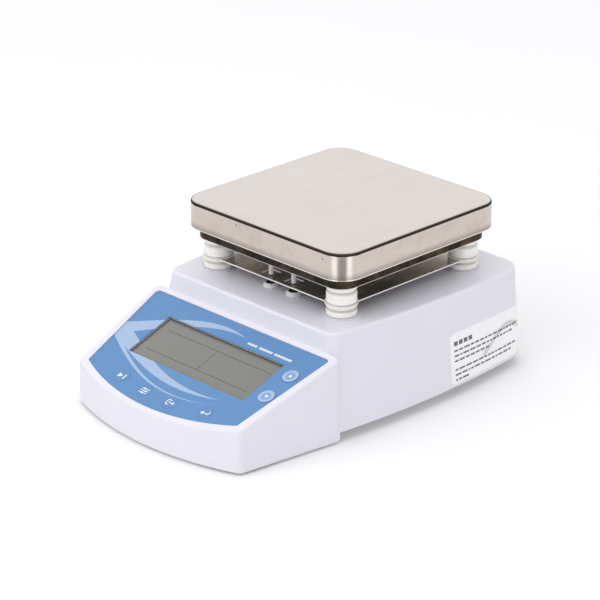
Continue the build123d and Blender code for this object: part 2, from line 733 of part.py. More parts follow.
def motor_bearings():
    """Two sintered bushes in the can's ends."""
    bushes = []
    for low in (MOTOR_BOTTOM_Z, MOTOR_TOP_Z - 5):
        bush = post(0, PLATE_Y, low, low + 5, BEARING_R)
        bushes.append(bush - post(0, PLATE_Y, low - 1, low + 6, SHAFT_BORE_R))
    return Compound(bushes)


def motor_stator():
    """Ring of field magnets inside the can."""
    ring = post(0, PLATE_Y, MOTOR_BOTTOM_Z + 6, MOTOR_TOP_Z - 6, MOTOR_R - MOTOR_WALL)
    return ring - post(0, PLATE_Y, 0, PLATE_TOP_Z, MOTOR_R - MOTOR_WALL - 5)


def motor_armature():
    """Slotted armature on the shaft."""
    low, high = MOTOR_BOTTOM_Z + 7, MOTOR_TOP_Z - 7
    radius = MOTOR_R - MOTOR_WALL - 6
    core = post(0, PLATE_Y, low, high, radius) - post(0, PLATE_Y, low - 1, high + 1, SHAFT_R)
    for index in range(8):
        slot = Pos(0, PLATE_Y, (low + high) / 2) * Rot(0, 0, index * 45) * Pos(radius, 0, 0)
        core -= slot * Box(9, 2, high - low + 2)
    return core


def motor_shaft():
    """Shaft from the lower bearing to the magnet carrier."""
    return post(0, PLATE_Y, MOTOR_BOTTOM_Z + 0.5, MAGNET_BOTTOM_Z, SHAFT_R)


def bracket_feet():
    """Places of the bracket's four rubber-mounted screws."""
    return [(side_x * 44, PLATE_Y + side_y * 18) for side_x in (-1, 1) for side_y in (-1, 1)]


def motor_bracket():
    """Bridge of folded sheet that hangs the motor over the base plate."""
    sheet = BRACKET_SHEET
    foot_z = BASE_TOP_Z + GROMMET_HEIGHT
    top = MOTOR_TOP_Z + sheet
    bridge = block(-38, 38, PLATE_Y - 25, PLATE_Y + 25, MOTOR_TOP_Z, top)
    for side in (-1, 1):
        inner, outer = sorted((side * 36, side * 38))
        bridge += block(inner, outer, PLATE_Y - 25, PLATE_Y + 25, foot_z, top)
        inner, outer = sorted((side * 36, side * 50))
        bridge += block(inner, outer, PLATE_Y - 25, PLATE_Y + 25, foot_z, foot_z + sheet)
    bridge -= post(0, PLATE_Y, MOTOR_TOP_Z - 1, top + 1, BEARING_R + 1)
    for x, y in bracket_feet():
        bridge -= post(x, y, foot_z - 1, foot_z + 5, SCREW_R + 0.2)
    return bridge


def motor_grommets():
    """Rubber grommets that keep the motor's hum out of the base."""
    rings = []
    for x, y in bracket_feet():
        ring = post(x, y, BASE_TOP_Z, BASE_TOP_Z + GROMMET_HEIGHT, 5)
        rings.append(ring - post(x, y, BASE_TOP_Z - 1, BASE_TOP_Z + 10, SCREW_R + 0.2))
    return Compound(rings)


def magnet_carrier():
    """Aluminium bar with a hub, which turns the two magnets."""
    low = MAGNET_BOTTOM_Z - CARRIER_THICKNESS
    bar = SlotOverall(MAGNET_SPACING + 2 * MAGNET_R + 4, 2 * MAGNET_R + 4)
    carrier = extrude(Pos(0, PLATE_Y, low) * bar, amount=CARRIER_THICKNESS)
    carrier += post(0, PLATE_Y, low - 5, low, 8)
    carrier -= post(0, PLATE_Y, low - 6, MAGNET_BOTTOM_Z + 1, SHAFT_R)
    grub = Pos(0, PLATE_Y - 6, low - 2.5) * Rot(90, 0, 0) * Cylinder(1.2, 8)
    return carrier - grub


def magnets():
    """Two upright disc magnets of opposite polarity."""
    discs = []
    for side in (-1, 1):
        disc = post(side * MAGNET_SPACING / 2, PLATE_Y, MAGNET_BOTTOM_Z, MAGNET_BOTTOM_Z + MAGNET_HEIGHT,
                    MAGNET_R)
        discs.append(fillet(disc.edges(), 0.6))
    return Compound(discs)


# ---- Rear panel ---------------------------------------------------------------------------

def rear_panel():
    """Upright connector plate behind the opening in the housing's rear wall."""
    inner_y = REAR_FACE_Y - REAR_SHEET
    plate = block(-60, 60, inner_y, REAR_FACE_Y, BASE_TOP_Z, REAR_CENTRE_Z + REAR_OPENING[1] / 2 + 3)
    plate += block(-60, 60, inner_y - 10, REAR_FACE_Y, BASE_TOP_Z, BASE_TOP_Z + REAR_SHEET)
    plate -= block(INLET_X - 14.1, INLET_X + 14.1, inner_y - 1, REAR_FACE_Y + 1, 15, 43)
    plate -= block(SWITCH_X - 6.6, SWITCH_X + 6.6, inner_y - 1, REAR_FACE_Y + 1, 19.4, 38.6)
    return plate - rear_post(PROBE_X, REAR_CENTRE_Z, inner_y - 1, REAR_FACE_Y + 1, 6.1)


def inlet_body():
    """Appliance inlet module: socket above, fuse drawer's pocket below."""
    face = REAR_FACE_Y + FLANGE_THICKNESS
    flange = block(INLET_X - 24, INLET_X + 24, REAR_FACE_Y, face, 14, 44)
    flange = fillet(flange.edges().filter_by(Axis.Y), 4)
    flange = fillet(flange.faces().sort_by(Axis.Y)[-1].edges(), 0.6)
    module = flange + block(INLET_X - 14, INLET_X + 14, REAR_FACE_Y - 18, REAR_FACE_Y, 15.2, 42.8)
    width, height = INLET_CAVITY
    cavity = Pos(INLET_X, face - INLET_DEPTH / 2, INLET_CAVITY_Z) * Box(width, INLET_DEPTH, height)
    lower_corners = cavity.edges().filter_by(Axis.Y).group_by(Axis.Z)[0]
    module -= chamfer(lower_corners, 4)
    width, height = DRAWER_SIZE
    pocket = Pos(INLET_X, face - DRAWER_DEPTH / 2, DRAWER_Z) * Box(width + 0.6, DRAWER_DEPTH, height + 0.6)
    module -= pocket
    for side in (-1, 1):
        module -= rear_post(INLET_X + side * 20, REAR_CENTRE_Z, REAR_FACE_Y - 2, face + 1, 1.7)
    return module


def inlet_pins():
    """Line, neutral and earth blades."""
    face = REAR_FACE_Y + FLANGE_THICKNESS
    blades = []
    for x, z in ((-7, 31.8), (7, 31.8), (0, 36.2)):
        blade = block(INLET_X + x - 1, INLET_X + x + 1, face - 22, face - 2.5, z - 2, z + 2)
        tip = blade.faces().sort_by(Axis.Y)[-1].edges()
        blades.append(chamfer(tip, 0.5))
    return Compound(blades)


def fuse_drawer():
    """Small tray with a lip, which slides out of the inlet module."""
    width, height = DRAWER_SIZE
    face = REAR_FACE_Y + FLANGE_THICKNESS
    inner = face - DRAWER_DEPTH + 1
    half = width / 2
    low, high = DRAWER_Z - height / 2, DRAWER_Z + height / 2
    tray = block(INLET_X - half, INLET_X + half, inner, face + 1.2, low, high)
    tray -= block(INLET_X - half + 1.2, INLET_X + half - 1.2, inner + 1.2, face - 2, low + 1, high + 1)
    return tray - block(INLET_X - 3, INLET_X + 3, face + 0.2, face + 2, high - 2, high + 1)


def fuse():
    """Glass cartridge fuse lying across the drawer."""
    y = REAR_FACE_Y + FLANGE_THICKNESS - 8
    z = DRAWER_Z - DRAWER_SIZE[1] / 2 + 1 + 2.5
    return Pos(INLET_X, y, z) * Rot(0, 90, 0) * Cylinder(2.5, 20)


def switch_body():
    """Case and bezel of the power switch."""
    face = REAR_FACE_Y + 1.6
    z0, z1 = REAR_CENTRE_Z - 10.5, REAR_CENTRE_Z + 10.5
    bezel = block(SWITCH_X - 7.5, SWITCH_X + 7.5, REAR_FACE_Y, face, z0, z1)
    bezel = fillet(bezel.edges().filter_by(Axis.Y), 1.2)
    case = bezel + block(SWITCH_X - 6.5, SWITCH_X + 6.5, REAR_FACE_Y - 14, REAR_FACE_Y, 19.6, 38.4)
    case -= block(SWITCH_X - 5.3, SWITCH_X + 5.3, REAR_FACE_Y - 9, face + 1, 20.6, 37.4)
    pivot_y = face - ROCKER_PIVOT_DEPTH
    bore = Pos(SWITCH_X, pivot_y, REAR_CENTRE_Z) * Rot(0, 90, 0) * Cylinder(ROCKER_PIN_BORE_R, 12.6)
    return case - bore


def rocker():
    """Rocker on two trunnions, at rest with its upper half pressed in."""
    pivot_y = REAR_FACE_Y + 1.6 - ROCKER_PIVOT_DEPTH
    outline = [(-4, -3.5), (-4, 3.5), (1.5, 7.3), (4.6, 7.3), (3.6, 0), (4.6, -7.3), (1.5, -7.3)]
    face = Plane.YZ * make_face(Polyline(*outline, close=True))
    paddle = extrude(face, amount=5, both=True)
    paddle = fillet(paddle.edges().filter_by(Axis.X).group_by(Axis.Y)[-1], 0.8)
    paddle += Rot(0, 90, 0) * Cylinder(ROCKER_PIN_R, 12.4)
    return Pos(SWITCH_X, pivot_y, REAR_CENTRE_Z) * Rot(ROCKER_REST_TILT, 0, 0) * paddle


def probe_socket():
    """Round socket for an outside temperature probe, with its nut behind the panel."""
    face = REAR_FACE_Y + 2.6
    inner = REAR_FACE_Y - REAR_SHEET
    socket = rear_post(PROBE_X, REAR_CENTRE_Z, REAR_FACE_Y, face, 8)
    socket = fillet(socket.edges().group_by(Axis.Y)[-1], 0.8)
    socket += rear_post(PROBE_X, REAR_CENTRE_Z, inner - 8, REAR_FACE_Y, 6)
    socket += rear_post(PROBE_X, REAR_CENTRE_Z, inner - 3, inner, 8)
    socket -= rear_post(PROBE_X, REAR_CENTRE_Z, inner - 6, face + 1, 4.6)
    for x, z in ((-1.5, -1.5), (1.5, -1.5), (-1.5, 1.5), (1.5, 1.5)):
        socket += rear_post(PROBE_X + x, REAR_CENTRE_Z + z, inner - 6, REAR_FACE_Y - 3, 0.5)
    return socket


# ---- Power supply -------------------------------------------------------------------------

def power_board():
    """Supply board on four pillars, with its tall components moulded on."""
    low = BASE_TOP_Z + 5
    y0, y1 = PLATE_Y + 30, PLATE_Y + 60
    board = block(-72, -4, y0, y1, low, low + 1.6)
    for x in (-69, -7):
        for y in (y0 + 3, y1 - 3):
            board += post(x, y, BASE_TOP_Z, low, 2.5)
    board += block(-66, -48, y0 + 6, y1 - 6, low + 1.6, low + 17)
    board += block(-20, -10, y0 + 5, y1 - 5, low + 1.6, low + 13)
    for x in (-40, -29):
        board += post(x, y0 + 15, low + 1.6, low + 18, 4.5)
    return board


def transformer():
    """Laminated core with its winding between two flanges."""
    centre = Pos(38, PLATE_Y + 48, 0)
    core = block(-22, 22, -8, 8, BASE_TOP_Z, BASE_TOP_Z + 36)
    winding = block(-13, 13, -15, 15, BASE_TOP_Z + 6, BASE_TOP_Z + 30)
    winding = fillet(winding.edges().filter_by(Axis.Z), 4)
    flanges = block(-14, 14, -16, 16, BASE_TOP_Z + 5, BASE_TOP_Z + 6.5)
    flanges += block(-14, 14, -16, 16, BASE_TOP_Z + 29.5, BASE_TOP_Z + 31)
    return centre * (core + winding + flanges)


# ---- All nodes ----------------------------------------------------------------------------

nodes = {
    "upper_housing": upper_housing(),
    "base_plate": base_plate(),
    "base_screws": base_screws(),
    "panel_overlay": panel_overlay(),
    "key_switches": key_switches(),
    "control_board": control_board(),
    "board_screws": board_screws(),
    "display_cell": display_cell(),
    "display_frame": display_frame(),
    "top_pan": top_pan(),
    "lower_pan": lower_pan(),
    "heat_spreader": heat_spreader(),
    "heating_coil": heating_coil(),
    "insulation_board": insulation_board(),
    "plate_sensor": plate_sensor(),
    "heat_shield": heat_shield(),
    "standoff_studs": standoff_studs(),
    "standoff_nuts": standoff_nuts(),
    "standoff_washers": standoff_washers(),
    "motor_can": motor_can(),
    "motor_bearings": motor_bearings(),
    "motor_stator": motor_stator(),
    "motor_armature": motor_armature(),
    "motor_shaft": motor_shaft(),
    "motor_bracket": motor_bracket(),
    "motor_grommets": motor_grommets(),
    "magnet_carrier": magnet_carrier(),
    "magnets": magnets(),
    "rear_panel": rear_panel(),
    "inlet_body": inlet_body(),
    "inlet_pins": inlet_pins(),
    "fuse_drawer": fuse_drawer(),
    "fuse": fuse(),
    "switch_body": switch_body(),
    "rocker": rocker(),
    "probe_socket": probe_socket(),
    "power_board": power_board(),
    "transformer": transformer(),
}
for name, centre, radius, height in KEYS:
    nodes[name] = key(centre, radius, height)
for corner, (foot_x, foot_y) in foot_places().items():
    nodes["foot_" + corner] = foot(foot_x, foot_y)
    nodes["upper_insulator_" + corner] = upper_insulator(corner)
    nodes["lower_insulator_" + corner] = lower_insulator(corner)
for side, lead_x in zip(("left", "right"), LEAD_X):
    nodes["lead_bush_" + side] = lead_bush(lead_x)
    nodes["heater_lead_" + side] = heater_lead(lead_x)

os.makedirs("parts", exist_ok=True)
for node, shape in nodes.items():
    export_step(shape, "parts/" + node + ".step")
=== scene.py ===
import json
import math
import random

import bmesh
import bpy
from mathutils import Matrix, Vector
from mathutils.bvhtree import BVHTree


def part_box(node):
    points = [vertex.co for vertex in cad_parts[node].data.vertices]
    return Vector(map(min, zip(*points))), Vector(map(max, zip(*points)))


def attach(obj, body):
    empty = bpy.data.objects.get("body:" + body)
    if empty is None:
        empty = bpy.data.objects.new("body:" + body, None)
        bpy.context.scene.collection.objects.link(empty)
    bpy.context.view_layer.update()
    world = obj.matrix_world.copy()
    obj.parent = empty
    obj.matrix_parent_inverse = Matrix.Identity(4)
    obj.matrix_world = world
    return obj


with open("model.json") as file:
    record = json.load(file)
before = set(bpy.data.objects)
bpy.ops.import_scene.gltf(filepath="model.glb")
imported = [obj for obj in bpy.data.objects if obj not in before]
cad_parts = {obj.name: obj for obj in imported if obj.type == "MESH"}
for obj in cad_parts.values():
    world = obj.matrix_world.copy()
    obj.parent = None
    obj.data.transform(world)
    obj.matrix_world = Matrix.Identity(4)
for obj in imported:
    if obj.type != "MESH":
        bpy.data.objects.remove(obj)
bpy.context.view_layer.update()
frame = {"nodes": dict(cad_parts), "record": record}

# Looks of the magnetic stirrer: materials of its parts, the printed graphics, the side label,
# the floor, the lights and the camera. Metres, in the part's own frame.

MM = 0.001

# Camera: aimed from the middle of the plate's top, then moved sideways in its own plane
CAMERA_AZIMUTH = math.radians(45.511)
CAMERA_ELEVATION = math.radians(22.896)
CAMERA_DISTANCE = 1.6056
CAMERA_RIGHT = -0.02538
CAMERA_UP = -0.06328
CAMERA_LENS = 156.46
SENSOR = 36.0
LIGHT_DISTANCE = 1.8

# Printed graphics, millimetres in the panel's plane: u to the right, v up the slope
TITLE_GROUPS = ((16.6, 5), (26.6, 7), (39.6, 9))   # (start, number of blocks)
TITLE_V = -11.1
TITLE_BLOCK = (1.15, 1.75)
TITLE_PITCH = 1.62
KEY_MARK_SCALE = 1.15
KEY_RING = (3.05, 5.0)       # inner and outer radius
WINDOW_LEFT_U = -48.8
WINDOW_BACK_V = -15.4
PRINT_LOW = -0.02
PRINT_HIGH = 0.03
CELL_DEPTH = 1.3
CELL_LINES = (
    ((-41.0, -24.6), (48.5, -24.6)),
    ((-41.2, -43.4), (47.1, -43.4)),
    ((3.3, -25.5), (3.3, -42.9)),
)
CELL_LINE_WIDTH = 0.42
ROCKER_MARK_OFFSET = 4.2     # of each mark from the rocker's middle, up and down
ROCKER_RING = (1.0, 1.45)

# Side label, millimetres: it starts on the right wall and runs round the rear corner
LABEL_START_Y = 11.0         # behind the plate's centre
LABEL_LENGTH = 83.0
LABEL_BOTTOM_Z = 7.8
LABEL_HEIGHT = 33.5
LABEL_CORNER_R = 3.0
LABEL_THICKNESS = 0.12
LABEL_MARGIN = 3.8
LABEL_SUNK = 0.05            # how deep the sticker reaches into the wall
LABEL_HEADER = (25.2, 28.0, 21.5)   # low, high, end
LABEL_BLOCK = 3.4
LABEL_BLOCK_PITCH = 4.5
LABEL_ROWS = ((21.4, 63.0), (18.1, 61.0), (14.8, 36.0), (9.2, 62.0), (6.0, 60.0), (2.7, 13.0))  # low, end
LABEL_TEXT_HEIGHT = 1.15
LABEL_WORD = (1.6, 5.5)      # shortest and longest bar
LABEL_WORD_GAP = 1.0
CORNER_CENTRE = (60.0, 64.0)  # centre of the rear corner: x, and y behind the plate's centre
CORNER_TURN_R = 22.0         # millimetres along the wall for each radian of the corner
RAY_REACH = 0.2              # metres, well outside the housing

PLATE_LOW, PLATE_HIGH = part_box("top_pan")
PLATE_Y = (PLATE_LOW.y + PLATE_HIGH.y) / 2


# ---- Node materials -----------------------------------------------------------------------

class Nodes:
    """A node tree under construction."""

    def __init__(self, owner):
        owner.use_nodes = True
        self.tree = owner.node_tree
        self.tree.nodes.clear()

    def node(self, kind, inputs=None, **settings):
        """New node; a value that is a socket is linked, any other is set."""
        made = self.tree.nodes.new(kind)
        for key, value in settings.items():
            setattr(made, key, value)
        for key, value in (inputs or {}).items():
            self.give(made.inputs[key], value)
        return made

    def give(self, socket, value):
        if isinstance(value, bpy.types.NodeSocket):
            self.tree.links.new(value, socket)
        else:
            socket.default_value = value

    def math(self, operation, *values):
        made = self.node("ShaderNodeMath", operation=operation)
        for index, value in enumerate(values):
            self.give(made.inputs[index], value)
        return made.outputs[0]

    def vector_math(self, operation, first, second):
        return self.node("ShaderNodeVectorMath", {0: first, 1: tuple(second)}, operation=operation)

    def span(self, value, from_low, from_high, to_low=0.0, to_high=1.0):
        """Value mapped from one span to another, clamped."""
        spans = {"From Min": from_low, "From Max": from_high, "To Min": to_low, "To Max": to_high}
        return self.node("ShaderNodeMapRange", {"Value": value, **spans}).outputs[0]

    def mix(self, factor, first, second):
        """Colour between two colours."""
        made = self.node("ShaderNodeMix", data_type="RGBA")
        self.give(made.inputs["Factor"], factor)
        for socket, value in ((made.inputs[6], first), (made.inputs[7], second)):
            self.give(socket, value if isinstance(value, bpy.types.NodeSocket) else (*value[:3], 1))
        return made.outputs[2]


class Paint(Nodes):
    """One node material, in metres of the object's own coordinates."""

    def __init__(self, name, **constants):
        self.material = bpy.data.materials.new(name)
        super().__init__(self.material)
        self.shader = self.node("ShaderNodeBsdfPrincipled")
        output = self.node("ShaderNodeOutputMaterial")
        self.tree.links.new(self.shader.outputs["BSDF"], output.inputs["Surface"])
        self.place = self.node("ShaderNodeTexCoord").outputs["Object"]
        for key, value in constants.items():
            self.shader.inputs[key.replace("_", " ")].default_value = value

    def set(self, name, value):
        """Shader input by name."""
        self.give(self.shader.inputs[name], value)

    def normal(self):
        return self.node("ShaderNodeTexCoord").outputs["Normal"]

    def axis(self, index):
        """One coordinate of the point, metres."""
        return self.node("ShaderNodeSeparateXYZ", {"Vector": self.place}).outputs[index]

    def upright(self):
        """How far the surface faces up or down: 0 for a wall, 1 for a level face."""
        upward = self.node("ShaderNodeSeparateXYZ", {"Vector": self.normal()}).outputs[2]
        return self.math("ABSOLUTE", upward)

    def stretched(self, stretch):
        """Coordinates scaled along each axis."""
        return self.node("ShaderNodeMapping", {"Vector": self.place, "Scale": stretch}).outputs[0]

    def noise(self, size, detail=2.0, stretch=(1, 1, 1), roughness=0.5, seed=0.0):
        """Noise with features about `size` metres across, 0 to 1."""
        made = self.node(
            "ShaderNodeTexNoise",
            {
                "Vector": self.stretched(stretch),
                "Scale": 1 / size,
                "Detail": detail,
                "Roughness": roughness,
                "W": seed,
            },
            noise_dimensions="4D",
        )
        return made.outputs["Fac"]

    def cells(self, size, output="Distance"):
        """Voronoi cells about `size` metres across."""
        made = self.node("ShaderNodeTexVoronoi", {"Vector": self.place, "Scale": 1 / size})
        return made.outputs[output]

    def bands(self, scale, distortion, place):
        """Waves that repeat along Z."""
        inputs = {"Vector": place, "Scale": scale, "Distortion": distortion}
        return self.node("ShaderNodeTexWave", inputs, bands_direction="Z").outputs["Fac"]

    def mottle(self, colour, spread, size, detail=3.0):
        """Colour that drifts by `spread` either way over about `size` metres."""
        dark = [c * (1 - spread) for c in colour]
        light = [min(1.0, c * (1 + spread)) for c in colour]
        return self.mix(self.span(self.noise(size, detail), 0.3, 0.7), dark, light)

    def from_axis(self, x, y):
        """Distance of the point from an upright axis, metres."""
        across = self.math("SUBTRACT", self.axis(0), x)
        along = self.math("SUBTRACT", self.axis(1), y)
        return self.length(across, along)

    def from_standoff(self):
        """Distance of the point from the nearest standoff's axis, metres."""
        low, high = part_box("upper_insulator_front_right")
        reach = (low.x + high.x) / 2
        beside = self.math("ABSOLUTE", self.math("SUBTRACT", self.axis(1), PLATE_Y))
        across = self.math("SUBTRACT", self.math("ABSOLUTE", self.axis(0)), reach)
        return self.length(across, self.math("SUBTRACT", beside, reach))

    def length(self, across, along):
        """Length of the vector with these two components."""
        squares = self.math("MULTIPLY_ADD", across, across, self.math("MULTIPLY", along, along))
        return self.math("SQRT", squares)

    def bump(self, height, depth):
        """Relief of `depth` metres."""
        made = self.node("ShaderNodeBump", {"Height": height, "Distance": depth, "Strength": 1.0})
        previous = self.shader.inputs["Normal"]
        if previous.is_linked:
            self.tree.links.new(previous.links[0].from_socket, made.inputs["Normal"])
        self.tree.links.new(made.outputs[0], self.shader.inputs["Normal"])


def plastic(name, colour, roughness=0.4, grain=0.0005, depth=0.000012, spread=0.012, **constants):
    """Moulded plastic: fine texture, faint drift of colour, uneven gloss."""
    paint = Paint(name, **constants)
    paint.set("Base Color", paint.mottle(colour, spread, 0.03))
    gloss = paint.noise(0.012, 4)
    paint.set("Roughness", paint.span(gloss, 0.3, 0.7, roughness - 0.04, roughness + 0.05))
    paint.bump(paint.noise(grain, 2), depth)
    return paint


def metal(name, colour, roughness=0.3, stretch=(1, 1, 1), grain=0.0003, depth=0.000004, spread=0.04):
    """Bare metal: drift of tone, uneven polish and fine marks drawn along the stretch."""
    paint = Paint(name, Metallic=1.0)
    paint.set("Base Color", paint.mottle(colour, spread, 0.02, 4))
    marks = paint.noise(grain, 3, stretch)
    stains = paint.noise(0.01, 4)
    uneven = paint.math("ADD", paint.math("MULTIPLY", marks, 0.10), paint.math("MULTIPLY", stains, 0.10))
    paint.set("Roughness", paint.math("ADD", uneven, roughness - 0.10))
    paint.bump(marks, depth)
    return paint


def stainless_plate(name):
    """Satin stainless pan: faint stains, fine cross marks, pits in the skirt; painted dark reflections on
    the top bend and low on the skirt, and a painted highlight along the skirt's bottom edge.
    """
    paint = Paint(name, Metallic=1.0)
    tone = paint.mottle((0.765, 0.708, 0.680), 0.018, 0.035, 4)
    streak = paint.span(paint.noise(0.006, 5, (1, 0.12, 1)), 0.42, 0.75)
    tone = paint.mix(paint.math("MULTIPLY", streak, 0.10), tone, (0.56, 0.50, 0.45))
    wall = paint.span(paint.upright(), 0.5, 0.7, 1.0, 0.0)
    blotch = paint.span(paint.noise(0.007, 5, seed=2.0), 0.50, 0.78, 0.0, 0.34)
    stain = paint.math("MULTIPLY", wall, blotch)
    tone = paint.mix(stain, tone, (0.50, 0.44, 0.39))
    height = paint.axis(2)
    upright = paint.upright()
    # Painted dark reflection: a near-black line on the bend round the top, where the surface leans between
    # level and upright.
    leaning = paint.span(upright, 0.06, 0.16)
    bend = paint.math("MULTIPLY", leaning, paint.span(upright, 0.62, 0.80, 1.0, 0.0))
    near_top = paint.span(height, PLATE_HIGH.z - 3.0 * MM, PLATE_HIGH.z - 2.5 * MM)
    bend = paint.math("MULTIPLY", bend, near_top)
    tone = paint.mix(paint.math("MULTIPLY", bend, 0.97), tone, (0.035, 0.03, 0.028))
    # Painted dark reflection on the skirt's lowest few millimetres, where it turns in.
    hem_painted_reflection = paint.span(height, PLATE_LOW.z + 0.7 * MM, PLATE_LOW.z + 4.6 * MM, 0.60, 0.0)
    tone = paint.mix(hem_painted_reflection, tone, (0.20, 0.17, 0.15))
    # Painted highlight: a thin bright line along the skirt's bottom edge.
    lip_painted_highlight = paint.span(height, PLATE_LOW.z + 0.55 * MM, PLATE_LOW.z + 0.75 * MM, 1.0, 0.0)
    tone = paint.mix(lip_painted_highlight, tone, (0.95, 0.92, 0.88))
    pit_mask = paint.span(paint.cells(0.0065), 0.05, 0.10, 1.0, 0.0)
    chosen = paint.span(paint.noise(0.016, 0, seed=3.1), 0.58, 0.60)
    pit_mask = paint.math("MULTIPLY", paint.math("MULTIPLY", pit_mask, chosen), wall)
    tone = paint.mix(paint.math("MULTIPLY", pit_mask, 0.8), tone, (0.10, 0.085, 0.07))
    paint.set("Base Color", tone)
    marks = paint.noise(0.00035, 3, (1, 0.06, 1))
    base = paint.span(paint.noise(0.018, 5), 0.35, 0.7, 0.12, 0.20)
    paint.set("Roughness", paint.math("ADD", base, paint.math("MULTIPLY", marks, 0.07)))
    paint.bump(marks, 0.0000015)
    paint.bump(paint.noise(0.022, 2, seed=1.7), 0.00003)
    paint.bump(paint.math("MULTIPLY", pit_mask, -1.0), 0.00008)
    return paint


def browned_steel(name):
    """Tray, dark in blotches: heat browning, partly painted shade under the skirt; a painted highlight
    along its lower edge.
    """
    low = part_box("lower_pan")[0]
    paint = Paint(name, Metallic=1.0)
    # Very dark tone: partly heat browning, partly painted shade of the tray's wall under the pan's skirt.
    blotches = paint.span(paint.noise(0.010, 5), 0.36, 0.66)
    tone = paint.mix(blotches, (0.035, 0.028, 0.022), (0.12, 0.09, 0.065))
    # Painted highlight: a bright, less metallic band along the lower edge, its top made ragged by noise.
    highlight_ragging = paint.noise(0.004, 4)
    edge = paint.math("ADD", paint.axis(2), paint.math("MULTIPLY", highlight_ragging, -0.0004))
    lower_edge_painted_highlight = paint.span(edge, low.z + 0.45 * MM, low.z + 0.75 * MM, 1.0, 0.0)
    paint.set("Base Color", paint.mix(lower_edge_painted_highlight, tone, (0.86, 0.83, 0.79)))
    paint.set("Metallic", paint.span(lower_edge_painted_highlight, 0.0, 1.0, 1.0, 0.3))
    paint.set("Roughness", paint.span(blotches, 0, 1, 0.45, 0.28))
    paint.bump(paint.noise(0.0008, 3), 0.00001)
    return paint


def polished_shield(name):
    """Polished sheet browned by heat, in blotches; a painted highlight on its cut edge, bright and less
    metallic, and a pale ring of plain metal round each standoff.
    """
    paint = Paint(name, Metallic=1.0)
    blotches = paint.span(paint.noise(0.014, 5, (1, 0.5, 1)), 0.36, 0.66)
    tone = paint.mix(blotches, (0.215, 0.175, 0.14), (0.55, 0.50, 0.44))
    speckle = paint.span(paint.noise(0.0022, 3), 0.60, 0.72)
    tone = paint.mix(paint.math("MULTIPLY", speckle, 0.35), tone, (0.55, 0.51, 0.46))
    # Painted highlight on the upright cut edge; the ring round each standoff is pale metal.
    wall = paint.span(paint.upright(), 0.5, 0.7, 1.0, 0.0)
    ring = paint.span(paint.from_standoff(), LUG_RUBBED - 0.1 * MM, LUG_RUBBED, 1.0, 0.0)
    edge = paint.math("MAXIMUM", wall, ring)
    paint.set("Base Color", paint.mix(edge, tone, (0.93, 0.90, 0.87)))
    paint.set("Metallic", paint.span(edge, 0.0, 1.0, 1.0, 0.2))
    paint.set("Roughness", paint.span(blotches, 0, 1, 0.36, 0.20))
    paint.bump(paint.noise(0.03, 2), 0.00010)
    paint.bump(paint.noise(0.0006, 2), 0.000004)
    return paint


def ceramic(name):
    """Glazed steatite: warm white with grains, a slightly wavy glaze and painted shade in the spools'
    grooves.
    """
    paint = Paint(name, Coat_Weight=0.35, Coat_Roughness=0.12, IOR=1.52)
    tone = paint.mottle((0.945, 0.93, 0.885), 0.025, 0.006, 4)
    specks = paint.span(paint.cells(0.0016), 0.10, 0.16, 1.0, 0.0)
    chosen = paint.span(paint.noise(0.003, 0, seed=5.0), 0.60, 0.64)
    grains = paint.math("MULTIPLY", paint.math("MULTIPLY", specks, chosen), 0.45)
    tone = paint.mix(grains, tone, (0.55, 0.48, 0.38))
    # Painted shade: darker in the spools' grooves, near their axes.
    groove_painted_shade = paint.span(paint.from_standoff(), 8.3 * MM, 9.3 * MM, 0.60, 0.0)
    tone = paint.mix(groove_painted_shade, tone, (0.42, 0.39, 0.35))
    paint.set("Base Color", tone)
    paint.set("Roughness", paint.span(paint.noise(0.004, 3), 0.3, 0.7, 0.24, 0.40))
    paint.bump(paint.noise(0.0035, 2), 0.00002)
    paint.bump(paint.noise(0.0005, 2), 0.000006)
    return paint


def ceramic_fibre(name):
    """Felted fibre board."""
    paint = Paint(name, Roughness=0.95)
    fibres = paint.noise(0.0012, 6, (1, 0.2, 1), 0.7)
    shade = paint.span(fibres, 0.3, 0.7)
    paint.set("Base Color", paint.mix(shade, (0.72, 0.69, 0.62), (0.90, 0.88, 0.83)))
    paint.bump(fibres, 0.0003)
    return paint


def rubber(name, colour, depth=0.00003):
    """Moulded rubber with dust in its fine texture."""
    paint = Paint(name, Specular_IOR_Level=0.35)
    dust = paint.span(paint.noise(0.006, 5), 0.45, 0.75, 0.0, 0.25)
    pale = [c + 0.10 for c in colour]
    paint.set("Base Color", paint.mix(dust, colour, pale))
    paint.set("Roughness", paint.span(paint.noise(0.003, 3), 0.3, 0.7, 0.55, 0.75))
    paint.bump(paint.noise(0.0006, 3), depth)
    return paint


def bush_nylon(name):
    """Nylon bush, with painted shade: the opening of its bore is near-black."""
    paint = plastic(name, (0.80, 0.795, 0.83), 0.35, 0.0008)
    nearest = None
    for node in ("lead_bush_left", "lead_bush_right"):
        low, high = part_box(node)
        away = paint.from_axis((low.x + high.x) / 2, (low.y + high.y) / 2)
        nearest = away if nearest is None else paint.math("MINIMUM", nearest, away)
    # Painted shade: near-black inside the bush's mouth.
    mouth_painted_shade = paint.span(nearest, BUSH_MOUTH, BUSH_MOUTH + 0.15 * MM, 1.0, 0.0)
    colour = paint.shader.inputs["Base Color"].links[0].from_socket
    paint.set("Base Color", paint.mix(mouth_painted_shade, colour, (0.012, 0.012, 0.013)))
    return paint


